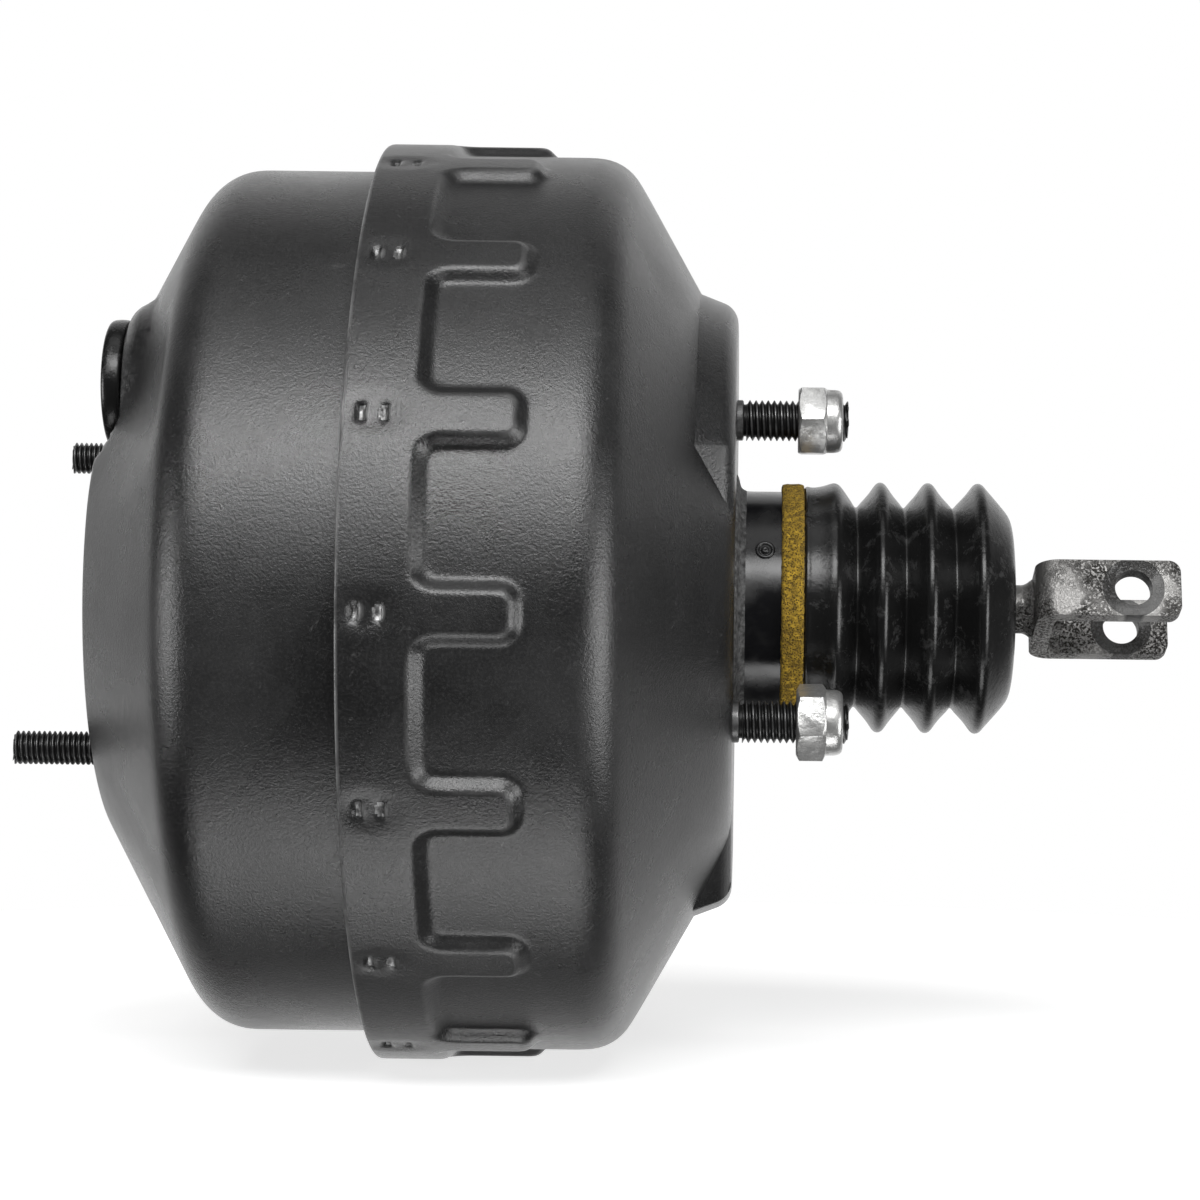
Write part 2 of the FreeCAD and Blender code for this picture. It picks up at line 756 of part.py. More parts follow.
def stiffener(label, start, thick, inner, outer, pitch, hole, count, angle, node=True):
    """A flat ring inside a shell that spreads the studs' load."""
    made = body(label, node)
    plan = sketch(made, "YZ_Plane", start)
    circle(plan, "0", "0", outer)
    circle(plan, "0", "0", inner)
    pressed(made, plan, thick)
    plan = sketch(made, "YZ_Plane", start)
    circle(plan, "0", pitch, hole)
    repeated(made, pressed(made, plan, thick, cut=True, backwards=True), count)
    turn_by(made, angle)
    return made


def port_cylinder(label, radius, start):
    """A cylinder on the vacuum port's line, to cut with."""
    made = doc.addObject("Part::Cylinder", label)
    made.setExpression("Radius", formula(radius))
    made.setExpression("Height", "Sizes.boss_depth")
    spot = FreeCAD.Vector(number(start), number("boss_y"), number("boss_z"))
    made.Placement = FreeCAD.Placement(spot, FreeCAD.Rotation(FreeCAD.Vector(0, 1, 0), 90))
    made.setExpression("Placement.Base.x", formula(start))
    made.setExpression("Placement.Base.y", "Sizes.boss_y")
    made.setExpression("Placement.Base.z", "Sizes.boss_z")
    return made


def studs(label, pitch, count, angle, corners):
    """Pressed-in studs, each turned about its own line and repeated round the axis."""
    made = body(label)
    plan = sketch(made)
    spots = []
    for along, out in corners:
        spots.append((along, pitch + " + " + out if out != "0" else pitch))
    outline(plan, *spots)
    axis_line(plan, pitch)
    repeated(made, turned(made, plan, about="Axis0"), count)
    turn_by(made, angle)


def rear_studs():
    head = "-rear_wall - rear_stiffener_thickness"
    studs(
        "firewall_studs", "rear_pitch_radius", "3", "rear_stud_angle",
        (
            (head + " - rear_head_thickness", "0"),
            (head + " - rear_head_thickness", "rear_head_radius"),
            (head, "rear_head_radius"),
            (head, "rear_knurl_radius"),
            ("0", "rear_knurl_radius"),
            ("0", "rear_stud_radius"),
            ("rear_zone_x", "rear_stud_radius"),
            ("rear_zone_x", "rear_pitch_zone"),
            ("rear_tip_x - stud_tip", "rear_pitch_zone"),
            ("rear_tip_x", "rear_pitch_zone - stud_tip"),
            ("rear_tip_x", "0"),
        ),
    )


def front_studs():
    head = "front_x + front_wall + front_stiffener_thickness"
    studs(
        "master_cylinder_studs", "front_pitch_radius", "2", "front_stud_angle",
        (
            ("front_tip_x", "0"),
            ("front_tip_x", "front_stud_radius - stud_tip"),
            ("front_tip_x + stud_tip", "front_stud_radius"),
            ("front_x", "front_stud_radius"),
            ("front_x", "front_knurl_radius"),
            (head, "front_knurl_radius"),
            (head, "front_head_radius"),
            (head + " + front_head_thickness", "front_head_radius"),
            (head + " + front_head_thickness", "0"),
        ),
    )


def hexagon(plan, flats):
    """A regular hexagon with two flats level, drawn about the sketch's origin."""
    reach = number(flats) / 2 / math.cos(math.radians(30))
    spots = []
    for place in range(6):
        turn = math.radians(60 * place)
        spots.append(FreeCAD.Vector(reach * math.cos(turn), reach * math.sin(turn), 0))
    rules = Rules(plan)
    first = plan.GeometryCount
    for place in range(6):
        plan.addGeometry(Part.LineSegment(spots[place], spots[(place + 1) % 6]))
    for place in range(6):
        rules.add("Coincident", first + place, 2, first + (place + 1) % 6, 1)
        if place:
            rules.add("Equal", first, first + place)
    guide = plan.addGeometry(Part.Circle(FreeCAD.Vector(0, 0, 0), FreeCAD.Vector(0, 0, 1), reach), True)
    rules.add("Coincident", guide, 3, -1, 1)
    for place in range(6):
        rules.add("PointOnObject", first + place, 1, guide)
    rules.add("PointOnObject", first, 1, -1)
    rules.hold("nut_flats", "Distance", first + 1, 1, first + 4)
    rules.apply()


def nut_at(place, turn):
    """One locking nut, run on to its stud, and the nylon ring in its collar."""
    hexes = body("nut_%d" % place, node=False)
    plan = sketch(hexes, "YZ_Plane", "nut_x")
    hexagon(plan, "nut_flats")
    pressed(hexes, plan, "nut_hex_length")
    plan = sketch(hexes)
    outline(
        plan,
        ("nut_x + nut_hex_length", "0"),
        ("nut_x + nut_hex_length", "nut_collar_radius"),
        ("nut_x + nut_length", "nut_collar_radius", "1.2"),
        ("nut_x + nut_length", "0"),
    )
    turned(hexes, plan)
    plan = sketch(hexes)
    outline(
        plan,
        ("nut_x", "0"),
        ("nut_x", "rear_pitch_zone + nut_gap"),
        ("nut_x + nut_length - nut_recess_depth", "rear_pitch_zone + nut_gap"),
        ("nut_x + nut_length - nut_recess_depth", "nut_recess_radius"),
        ("nut_x + nut_length", "nut_recess_radius"),
        ("nut_x + nut_length", "0"),
    )
    turned(hexes, plan, cut=True)
    # The hexagon's corners are cut back to a cone on the seat side
    plan = sketch(hexes)
    outline(
        plan,
        ("nut_x", "nut_flats_half"),
        ("nut_x + 1", "nut_reach"),
        ("nut_x + 1", "nut_reach + 1"),
        ("nut_x", "nut_reach + 1"),
    )
    turned(hexes, plan, cut=True)
    ring = body("nylon_%d" % place, node=False)
    plan = sketch(ring)
    outline(
        plan,
        ("nut_x + nut_length - nut_recess_depth", "rear_pitch_zone + nut_gap"),
        ("nut_x + nut_length - nut_recess_depth", "nut_recess_radius"),
        ("nut_x + nut_length - 0.3", "nut_recess_radius"),
        ("nut_x + nut_length - 0.3", "rear_pitch_zone + nut_gap"),
    )
    turned(ring, plan)
    spin = number(turn)
    tilt = math.radians(number("rear_stud_angle") + 120 * place)
    pitch = number("rear_pitch_radius")
    spot = FreeCAD.Vector(0, -pitch * math.sin(tilt), pitch * math.cos(tilt))
    around = "(%g + Sizes.rear_stud_angle)" % (120 * place)
    for item in (hexes, ring):
        item.Placement = FreeCAD.Placement(spot, FreeCAD.Rotation(FreeCAD.Vector(1, 0, 0), spin))
        item.setExpression("Placement.Base.y", "-Sizes.rear_pitch_radius * sin" + around)
        item.setExpression("Placement.Base.z", "Sizes.rear_pitch_radius * cos" + around)
        item.setExpression("Placement.Rotation.Angle", formula(turn))
    return hexes, ring


def gathered(label, items):
    """Several like pieces kept as one node."""
    made = doc.addObject("Part::Compound", label)
    made.Label = label
    made.Links = items
    nodes.append(made)


def nuts():
    pairs = [
        nut_at(0, "nut_upper_turn"),
        nut_at(1, "nut_near_turn"),
        nut_at(2, "nut_upper_turn"),
    ]
    gathered("firewall_nuts", [pair[0] for pair in pairs])
    gathered("nut_inserts", [pair[1] for pair in pairs])


def grommet():
    made = body("vacuum_grommet")
    plan = sketch(made)
    outline(
        plan,
        ("boss_x - grommet_thickness", "grommet_bore"),
        ("boss_x - grommet_thickness", "grommet_radius", "1.2"),
        ("boss_x", "grommet_radius"),
        ("boss_x", "grommet_hole - 0.1"),
        ("boss_x + front_wall", "grommet_hole - 0.1"),
        ("boss_x + front_wall", "grommet_lip"),
        ("boss_x + front_wall + grommet_lip_thickness", "grommet_lip - 1.5"),
        ("boss_x + front_wall + grommet_lip_thickness", "grommet_bore"),
    )
    turned(made, plan)
    spot = FreeCAD.Vector(0, number("boss_y"), number("boss_z"))
    made.Placement = FreeCAD.Placement(spot, FreeCAD.Rotation())
    made.setExpression("Placement.Base.y", "Sizes.boss_y")
    made.setExpression("Placement.Base.z", "Sizes.boss_z")


def boot():
    """The dust boot: a cuff over the neck, folds, and a closed end with a wide hole."""
    folds = [("boot_x", "boot_mouth_radius"), ("boot_first_peak_x", "boot_peak")]
    step = "boot_first_valley_x"
    folds.append((step, "boot_valley"))
    for place in range(3):
        step += " + boot_fold"
        folds.append((step, "boot_peak"))
        if place < 2:
            step += " + boot_fold"
            folds.append((step, "boot_valley"))
    folds.append(("boot_shoulder_x", "boot_shoulder_radius"))
    folds.append(("boot_cone_x", "boot_cone_radius"))
    folds.append(("boot_end_x", "boot_hole"))
    sheet_node("dust_boot", "boot_wall", *folds)


def housing_inside():
    """The seals, the dividing wall and its seal, held in the shells."""
    ring_node(
        "rear_seal",
        ("2", "tail_radius + seal_gap"),
        ("2", "neck_radius - rear_wall - 0.1"),
        ("11", "neck_radius - rear_wall - 0.1"),
        ("11", "tail_radius + 2.5"),
        ("5", "tail_radius + 1.6"),
        ("5", "tail_radius + seal_gap"),
    )
    ring_node(
        "rear_guide",
        ("-1.5", "tail_radius + seal_gap"),
        ("-1.5", "neck_radius - rear_wall - 0.1"),
        ("2", "neck_radius - rear_wall - 0.1"),
        ("2", "tail_radius + seal_gap"),
    )
    ring_node(
        "seal_retainer",
        ("11", "tail_radius + 1"),
        ("11", "neck_radius - rear_wall - 0.1"),
        ("16", "neck_radius - rear_wall - 0.1"),
        ("16", "neck_radius - rear_wall - 1.2"),
        ("12.2", "neck_radius - rear_wall - 1.2"),
        ("12.2", "tail_radius + 1"),
    )
    ring_node(
        "foam_ring",
        ("foam_x", "neck_radius + 0.1"),
        ("foam_x", "foam_outer"),
        ("boot_x - 0.1", "foam_outer"),
        ("boot_x - 0.1", "neck_radius + 0.1"),
    )
    sheet_node(
        "centre_plate", "centre_plate_wall",
        ("bead_front_x", "centre_rim_radius"),
        ("bead_front_x", "centre_well_radius", "2.5"),
        ("centre_disc_x", "centre_well_radius", "4"),
        ("centre_disc_x", "centre_hole"),
        left=True,
    )
    ring_node(
        "centre_seal",
        ("centre_disc_x - 2.2", "hub_radius + seal_gap"),
        ("centre_disc_x - 2.2", "centre_hole + 3"),
        ("centre_disc_x", "centre_hole + 3"),
        ("centre_disc_x", "centre_hole - 0.1"),
        ("centre_disc_x + centre_plate_wall", "centre_hole - 0.1"),
        ("centre_disc_x + centre_plate_wall", "centre_hole + 2"),
        ("centre_disc_x + centre_plate_wall + 2", "centre_hole + 2"),
        ("centre_disc_x + centre_plate_wall + 2", "hub_radius + seal_gap"),
    )


def front_diaphragm():
    made = body("front_diaphragm")
    plan = sketch(made)
    strip(
        plan, "rubber_wall",
        ("flange_x + front_wall + rim_gap + 2", "front_radius - front_wall - 0.5"),
        ("front_rim_x - 6", "front_radius - front_wall - 0.5", "4"),
        ("front_rim_x - 6", "front_plate_radius + 5", "3"),
        ("front_rim_x + plate_wall", "front_plate_radius + 1", "1"),
        ("front_rim_x + plate_wall", "front_plate_radius - 12"),
        left=True,
    )
    turned(made, plan)
    plan = sketch(made)
    outline(
        plan,
        ("flange_x + front_wall + rim_gap", "front_radius - front_wall - 0.5"),
        ("flange_x + front_wall + rim_gap", "centre_rim_radius"),
        ("bead_front_x - rim_gap", "centre_rim_radius"),
        ("bead_front_x - rim_gap", "front_radius - front_wall - 0.5"),
    )
    turned(made, plan)


def rear_diaphragm():
    made = body("rear_diaphragm")
    plan = sketch(made)
    strip(
        plan, "rubber_wall",
        ("bead_rear_end_x - 2", "drum_radius - rear_wall - 0.8"),
        ("rear_plate_rim_x + 9", "drum_radius - rear_wall - 0.8", "3"),
        ("rear_plate_rim_x + 9", "rear_plate_radius + 3", "3"),
        ("rear_plate_rim_x + plate_wall + rubber_wall", "rear_plate_radius + 1", "2"),
        ("rear_plate_rim_x + plate_wall + rubber_wall", "rear_plate_radius - 12"),
    )
    turned(made, plan)
    plan = sketch(made)
    outline(
        plan,
        ("bead_front_x + centre_plate_wall + rim_gap", "drum_radius - rear_wall - rubber_wall - 0.8"),
        ("bead_front_x + centre_plate_wall + rim_gap", "centre_rim_radius"),
        ("bead_rear_end_x", "centre_rim_radius"),
        ("bead_rear_end_x", "drum_radius - rear_wall - rubber_wall - 0.8"),
    )
    turned(made, plan)


def piston():
    """The power piston: valve body, the two plates and what is fixed in them."""
    made = body("valve_body")
    plan = sketch(made)
    outline(
        plan,
        ("hub_front_x - 3", "nose_bore"),
        ("hub_front_x - 3", "hub_radius - 3"),
        ("hub_front_x", "hub_radius - 3"),
        ("hub_front_x", "hub_radius"),
        ("hub_end_x - 6", "hub_radius"),
        ("hub_end_x - 6", "hub_radius + 7"),
        ("hub_end_x - 3", "hub_radius + 7"),
        ("hub_end_x - 3", "hub_radius"),
        ("hub_end_x", "hub_radius"),
        ("hub_end_x", "sleeve_radius"),
        ("stop_x", "sleeve_radius"),
        ("stop_x", "tail_radius"),
        ("tail_end_x", "tail_radius", "1"),
        ("tail_end_x", "tail_bore"),
        ("seat_wall_x", "tail_bore"),
        ("seat_wall_x", "plunger_radius + slide_gap"),
        ("disc_rear_x", "plunger_radius + slide_gap"),
        ("disc_rear_x", "nose_bore"),
    )
    turned(made, plan)
    # The key's slot goes right across the body, and air ducts run beside the bore
    plan = sketch(made, "XZ_Plane")
    outline(
        plan,
        ("key_x", "-key_half"),
        ("key_x + key_thickness", "-key_half"),
        ("key_x + key_thickness", "key_half"),
        ("key_x", "key_half"),
    )
    pressed(made, plan, "80", cut=True, midplane=True)
    key = body("stop_key")
    plan = sketch(key, "YZ_Plane", "key_x + key_gap")
    outline(
        plan,
        ("-key_length", "-key_half + key_gap"),
        ("hub_radius + 2", "-key_half + key_gap", "1"),
        ("hub_radius + 2", "key_half - key_gap", "1"),
        ("-key_length", "key_half - key_gap"),
    )
    pressed(key, plan, "key_thickness - key_gap - key_gap")
    plan = sketch(key, "YZ_Plane", "key_x + key_gap")
    outline(
        plan,
        ("-key_length - 1", "-key_fork"),
        ("key_fork", "-key_fork", "key_fork - 0.5"),
        ("key_fork", "key_fork", "key_fork - 0.5"),
        ("-key_length - 1", "key_fork"),
    )
    pressed(key, plan, "key_thickness", cut=True, backwards=True)
    sheet_node(
        "front_diaphragm_plate", "plate_wall",
        ("front_rim_x", "front_plate_radius"),
        ("front_rim_x", "hub_radius + 34", "4"),
        ("front_plate_x", "hub_radius + 26", "4"),
        ("front_plate_x", "hub_radius + 0.1"),
        left=True,
    )
    sheet_node(
        "rear_diaphragm_plate", "plate_wall",
        ("rear_plate_rim_x", "rear_plate_radius"),
        ("rear_plate_rim_x", "hub_radius + 40", "4"),
        ("rear_plate_x - 3 - plate_wall", "hub_radius + 14", "4"),
        ("rear_plate_x - 3 - plate_wall", "hub_radius + 0.1"),
        left=True,
    )
    ring_node(
        "front_plate_retainer",
        ("front_plate_x - 1.2", "hub_radius - 2.9"),
        ("front_plate_x - 1.2", "hub_radius + 8"),
        ("front_plate_x", "hub_radius + 8"),
        ("front_plate_x", "hub_radius - 2.9"),
    )
    ring_node(
        "rear_plate_retainer",
        ("rear_plate_x", "hub_radius + 0.1"),
        ("rear_plate_x", "hub_radius + 11"),
        ("rear_plate_x + 1.4", "hub_radius + 11"),
        ("rear_plate_x + 1.4", "hub_radius + 0.1"),
    )
    ring_node(
        "reaction_disc",
        ("disc_front_x", "0"),
        ("disc_front_x", "nose_bore - 0.1"),
        ("disc_rear_x", "nose_bore - 0.1"),
        ("disc_rear_x", "0"),
    )
    ring_node(
        "output_rod",
        ("disc_front_x", "0"),
        ("disc_front_x", "nose_bore - 0.2"),
        ("disc_front_x - 6", "nose_bore - 0.2"),
        ("disc_front_x - 6", "output_rod_radius", "2"),
        ("output_tip_x + 8", "output_rod_radius"),
        ("output_tip_x + 8", "0"),
    )
    tip = body("output_rod_tip")
    plan = sketch(tip)
    outline(
        plan,
        ("output_tip_x", "0"),
        ("output_tip_x", "3", "1.5"),
        ("output_tip_x + 1.5", "4.5"),
        ("output_tip_x + 5", "4.5"),
        ("output_tip_x + 5", "0"),
    )
    turned(tip, plan)
    plan = sketch(tip, "YZ_Plane", "output_tip_x + 5")
    rim = "4.5"
    outline(
        plan,
        ("-" + rim, "-" + rim, "1"),
        (rim, "-" + rim, "1"),
        (rim, rim, "1"),
        ("-" + rim, rim, "1"),
    )
    pressed(tip, plan, "3")
    ring_node(
        "output_rod_retainer",
        ("disc_front_x - 7.5", "output_rod_radius + 1.5"),
        ("disc_front_x - 7.5", "nose_bore - 0.1"),
        ("disc_front_x - 6.1", "nose_bore - 0.1"),
        ("disc_front_x - 6.1", "output_rod_radius + 1.5"),
    )


def valve():
    """What sits in the valve body's bore: poppet, its retainer and springs, and the filters."""
    ring_node(
        "poppet_valve",
        ("poppet_x", "7.5"),
        ("poppet_x", "tail_bore - 1.5"),
        ("poppet_x + 2.2", "tail_bore - 1.5"),
        ("poppet_x + 2.2", "tail_bore - 4.5"),
        ("poppet_x + 12", "tail_bore - 4.5"),
        ("poppet_x + 12", "tail_bore - 0.1"),
        ("poppet_x + 15", "tail_bore - 0.1"),
        ("poppet_x + 15", "tail_bore - 5.8"),
        ("poppet_x + 2.6", "tail_bore - 5.8"),
        ("poppet_x + 2.6", "7.5"),
    )
    ring_node(
        "poppet_retainer",
        ("poppet_x + 15.1", "tail_bore - 5.8"),
        ("poppet_x + 15.1", "tail_bore - 0.1"),
        ("poppet_x + 22", "tail_bore - 0.1"),
        ("poppet_x + 22", "tail_bore - 1.2"),
        ("poppet_x + 16.3", "tail_bore - 1.2"),
        ("poppet_x + 16.3", "tail_bore - 5.8"),
    )
    ring_node(
        "rod_spring_seat",
        ("seat_x", "rod_mid + 0.05"),
        ("seat_x", "tail_bore - 2.8"),
        ("seat_x + 1.5", "tail_bore - 2.8"),
        ("seat_x + 1.5", "rod_mid + 0.05"),
    )
    ring_node(
        "air_filter",
        ("filter_x", "filter_hole"),
        ("filter_x", "tail_bore - 0.1"),
        ("filter_x + filter_length", "tail_bore - 0.1"),
        ("filter_x + filter_length", "filter_hole"),
    )
    ring_node(
        "filter_silencer",
        ("filter_x + filter_length", "filter_hole"),
        ("filter_x + filter_length", "tail_bore - 0.1"),
        ("filter_x + filter_length + 5", "tail_bore - 0.1"),
        ("filter_x + filter_length + 5", "filter_hole"),
    )


def coil(label, start, end, radius, wire, turns, end_radius=None):
    """A coil spring with a six-sided wire, as a loft through sections along its helix."""
    low, high = number(start), number(end)
    thick = number(wire)
    first = number(radius)
    last = number(end_radius) if end_radius else first
    per_turn = 16
    count = int(turns * per_turn)
    sections = []
    for place in range(count + 1):
        share = place / count
        angle = 2 * math.pi * turns * share
        wide = first + (last - first) * share
        along = low + thick / 2 + (high - low - thick) * share
        corners = []
        for side in range(7):
            turn = math.pi / 3 * side
            out = wide + thick / 2 * math.cos(turn)
            step = along + thick / 2 * math.sin(turn)
            corners.append(FreeCAD.Vector(step, out * math.cos(angle), out * math.sin(angle)))
        sections.append(Part.makePolygon(corners))
    made = doc.addObject("Part::Feature", label)
    made.Label = label
    made.Shape = Part.makeLoft(sections, True, True)
    made.Placement = FreeCAD.Placement()
    nodes.append(made)


def input_side():
    """The plunger, the pedal rod with its ball, and the boot's collar on the rod."""
    made = body("valve_plunger")
    plan = sketch(made)
    outline(
        plan,
        ("plunger_x", "0"),
        ("plunger_x", "plunger_radius"),
        ("key_x - key_gap", "plunger_radius"),
        ("key_x - key_gap", "key_fork - 0.4"),
        ("key_x + key_thickness + 1.5", "key_fork - 0.4"),
        ("key_x + key_thickness + 1.5", "plunger_radius"),
        ("socket_end_x", "plunger_radius"),
        ("socket_end_x", "0"),
    )
    turned(made, plan)
    plan = sketch(made)
    ball = number("ball_radius + slide_gap")
    middle = FreeCAD.Vector(number("ball_x"), 0, 0)
    round_line = Part.Circle(middle, FreeCAD.Vector(0, 0, 1), ball)
    arc = plan.addGeometry(Part.ArcOfCircle(round_line, 0, math.pi))
    side = FreeCAD.Vector(ball, 0, 0)
    line = plan.addGeometry(Part.LineSegment(middle - side, middle + side))
    rules = Rules(plan)
    rules.add("Coincident", arc, 1, line, 2)
    rules.add("Coincident", arc, 2, line, 1)
    rules.add("PointOnObject", arc, 1, -1)
    rules.add("PointOnObject", arc, 2, -1)
    rules.add("PointOnObject", arc, 3, -1)
    rules.hold("ball_x", "DistanceX", arc, 3)
    rules.hold("ball_radius + slide_gap", "Radius", arc)
    rules.apply()
    turned(made, plan, cut=True)
    rod = body("input_rod")
    plan = sketch(rod)
    neck = math.asin(number("rod_neck") / number("ball_radius"))
    round_line = Part.Circle(middle, FreeCAD.Vector(0, 0, 1), number("ball_radius"))
    arc = plan.addGeometry(Part.ArcOfCircle(round_line, neck, math.pi))
    corners = (
        ("-7", "rod_neck"),
        ("-6", "rod_mid"),
        ("rod_thick_x - 1", "rod_mid"),
        ("rod_thick_x", "rod_radius"),
        ("rod_groove_x", "rod_radius"),
        ("rod_groove_x", "rod_groove_radius"),
        ("rod_groove_end_x", "rod_groove_radius"),
        ("rod_flare_x", "rod_flare"),
        ("fork_x - 0.1", "rod_flare"),
        ("fork_x - 0.1", "spigot_radius"),
        ("fork_x + fork_plate + 0.1", "spigot_radius"),
        ("fork_x + fork_plate + 0.1", "rivet_radius"),
        ("fork_x + fork_plate + rivet_length", "rivet_radius - 1"),
        ("fork_x + fork_plate + rivet_length", "0"),
    )
    spots = [FreeCAD.Vector(number(corner[0]), number(corner[1]), 0) for corner in corners]
    reach = number("ball_radius")
    neck_spot = middle + FreeCAD.Vector(reach * math.cos(neck), reach * math.sin(neck), 0)
    back = middle - FreeCAD.Vector(reach, 0, 0)
    rules = Rules(plan)
    lines = [plan.addGeometry(Part.LineSegment(neck_spot, spots[0]))]
    for place in range(len(spots) - 1):
        lines.append(plan.addGeometry(Part.LineSegment(spots[place], spots[place + 1])))
    lines.append(plan.addGeometry(Part.LineSegment(spots[-1], back)))
    for one, two in zip(lines, lines[1:]):
        rules.add("Coincident", one, 2, two, 1)
    for place, corner in enumerate(corners):
        rules.hold(corner[0], "DistanceX", lines[place + 1], 1)
        rules.hold(corner[1], "DistanceY", lines[place + 1], 1)
    rules.add("Coincident", arc, 1, lines[0], 1)
    rules.add("Coincident", arc, 2, lines[-1], 2)
    rules.add("Horizontal", lines[0])
    rules.add("PointOnObject", arc, 3, -1)
    rules.add("PointOnObject", arc, 2, -1)
    rules.hold("ball_x", "DistanceX", arc, 3)
    rules.hold("ball_radius", "Radius", arc)
    rules.apply()
    turned(rod, plan)
    ring_node(
        "boot_collar",
        ("boot_cone_x - 3.6", "rod_radius + 0.02"),
        ("boot_cone_x - 3.6", "boot_hole + 4.5"),
        ("boot_cone_x - 2", "boot_hole + 4.5"),
        ("boot_cone_x - 2", "8.2"),
        ("boot_end_x + 0.2", "8.2"),
        ("boot_end_x + 0.2", "rod_radius + 0.02"),
    )


def clevis():
    """The pedal fork: one bent plate with two ears, drilled for the pin."""
    made = body("clevis")
    plan = sketch(made, "XY_Plane")
    strip(
        plan, "fork_plate",
        ("fork_end_x", "-fork_half_width"),
        ("fork_x", "-fork_half_width", "fork_bend"),
        ("fork_x", "fork_half_width", "fork_bend"),
        ("fork_end_x", "fork_half_width"),
    )
    bent = pressed(made, plan, "fork_height", midplane=True)
    tip = number("fork_end_x")

    def ear_corner(edge):
        box = edge.BoundBox
        return box.XLength < 0.01 and abs(box.XMin - tip) < 0.01 and box.ZLength < 0.01

    ears = rounded(made, bent, ear_corner, "fork_corner")
    plan = sketch(made, "XZ_Plane")
    circle(plan, "pin_x", "0", "pin_hole")
    pressed(made, plan, "fork_half_width + fork_half_width + 4", cut=True, midplane=True)
    plan = sketch(made, "YZ_Plane")
    circle(plan, "0", "0", "spigot_radius + slide_gap")
    pressed(made, plan, "fork_end_x + fork_end_x", cut=True, midplane=True)
    turn_by(made, "fork_turn")

rear_shell()
front_shell()
stiffener(
    "rear_stiffener_plate", "-rear_wall - rear_stiffener_thickness", "rear_stiffener_thickness",
    "rear_stiffener_inner", "rear_stiffener_radius", "rear_pitch_radius", "rear_knurl_radius + press_gap",
    "3", "rear_stud_angle",
)
front_ring = stiffener(
    "front_stiffener_ring", "front_x + front_wall", "front_stiffener_thickness",
    "front_bore", "front_stiffener_radius", "front_pitch_radius", "front_knurl_radius + press_gap",
    "2", "front_stud_angle", node=False,
)
notch = port_cylinder("stiffener_notch", "boss_radius + front_wall + 4.5", "front_x")
less("front_stiffener_plate", front_ring, notch)
rear_studs()
front_studs()
nuts()
grommet()
housing_inside()
boot()
front_diaphragm()
rear_diaphragm()
piston()
valve()
input_side()
clevis()
spring_foot = "front_x + front_wall + front_stiffener_thickness + 0.3"
coil("return_spring", spring_foot, "front_plate_x - 3.3", "31", "3.6", 5)
coil("poppet_spring", "poppet_x + 2.9", "seat_x - 0.3", "tail_bore - 8.1", "1.4", 4)
coil("rod_return_spring", "poppet_x + 16.6", "seat_x - 0.3", "tail_bore - 4.6", "1.6", 4)

doc.recompute()
os.makedirs("parts", exist_ok=True)
for item in doc.Objects:
    if "Invalid" in item.State or "Error" in item.State:
        raise RuntimeError("%s didn't recompute: %s" % (item.Label, item.State))
for node in nodes:
    if node.Shape.isNull() or not node.Shape.isValid():
        raise RuntimeError("%s has no valid shape" % node.Label)
    if len(node.Shape.Solids) < 1:
        raise RuntimeError("%s has no solid" % node.Label)
for node in nodes:
    node.Shape.exportStep("parts/%s.step" % node.Label)
    box = node.Shape.BoundBox
    print("%s %d x %.1f..%.1f" % (node.Label, len(node.Shape.Solids), box.XMin, box.XMax))
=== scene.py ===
import math
from functools import cache

import bpy
from bpy.props import FloatProperty, FloatVectorProperty, IntProperty, PointerProperty
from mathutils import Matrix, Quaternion, Vector


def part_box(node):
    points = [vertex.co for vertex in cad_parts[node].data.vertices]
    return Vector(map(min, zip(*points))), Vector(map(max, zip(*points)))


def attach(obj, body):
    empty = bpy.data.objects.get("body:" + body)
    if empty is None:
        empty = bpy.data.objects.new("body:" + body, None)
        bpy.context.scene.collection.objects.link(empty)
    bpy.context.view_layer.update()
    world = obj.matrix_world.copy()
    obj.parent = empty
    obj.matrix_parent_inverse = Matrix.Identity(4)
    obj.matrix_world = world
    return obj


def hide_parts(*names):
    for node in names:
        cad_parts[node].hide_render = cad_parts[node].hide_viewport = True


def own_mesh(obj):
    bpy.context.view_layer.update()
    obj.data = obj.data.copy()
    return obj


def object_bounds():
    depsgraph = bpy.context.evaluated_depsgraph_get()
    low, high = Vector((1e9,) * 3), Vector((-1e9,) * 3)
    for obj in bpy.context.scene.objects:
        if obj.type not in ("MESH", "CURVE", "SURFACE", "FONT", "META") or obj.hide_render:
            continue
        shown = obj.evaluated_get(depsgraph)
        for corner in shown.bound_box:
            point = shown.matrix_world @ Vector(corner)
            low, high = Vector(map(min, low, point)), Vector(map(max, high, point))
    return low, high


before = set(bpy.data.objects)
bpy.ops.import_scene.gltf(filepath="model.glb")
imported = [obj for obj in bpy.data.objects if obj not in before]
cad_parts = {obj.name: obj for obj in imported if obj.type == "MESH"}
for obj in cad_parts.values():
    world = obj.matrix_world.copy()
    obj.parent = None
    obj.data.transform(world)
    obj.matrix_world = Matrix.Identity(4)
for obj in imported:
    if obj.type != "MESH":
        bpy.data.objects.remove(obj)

bl_info = {
    "name": "Brake Booster",
    "version": (1, 0, 0),
    "blender": (4, 5, 0),
    "location": "3D View > Sidebar > Booster",
    "description": "Models and dresses a tandem vacuum brake booster",
    "category": "Object",
}

MM = 0.001
ORIGIN = (0.0, 0.0, 0.0)
ALONG_X = (0, math.pi / 2, 0)
CAD_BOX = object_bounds()

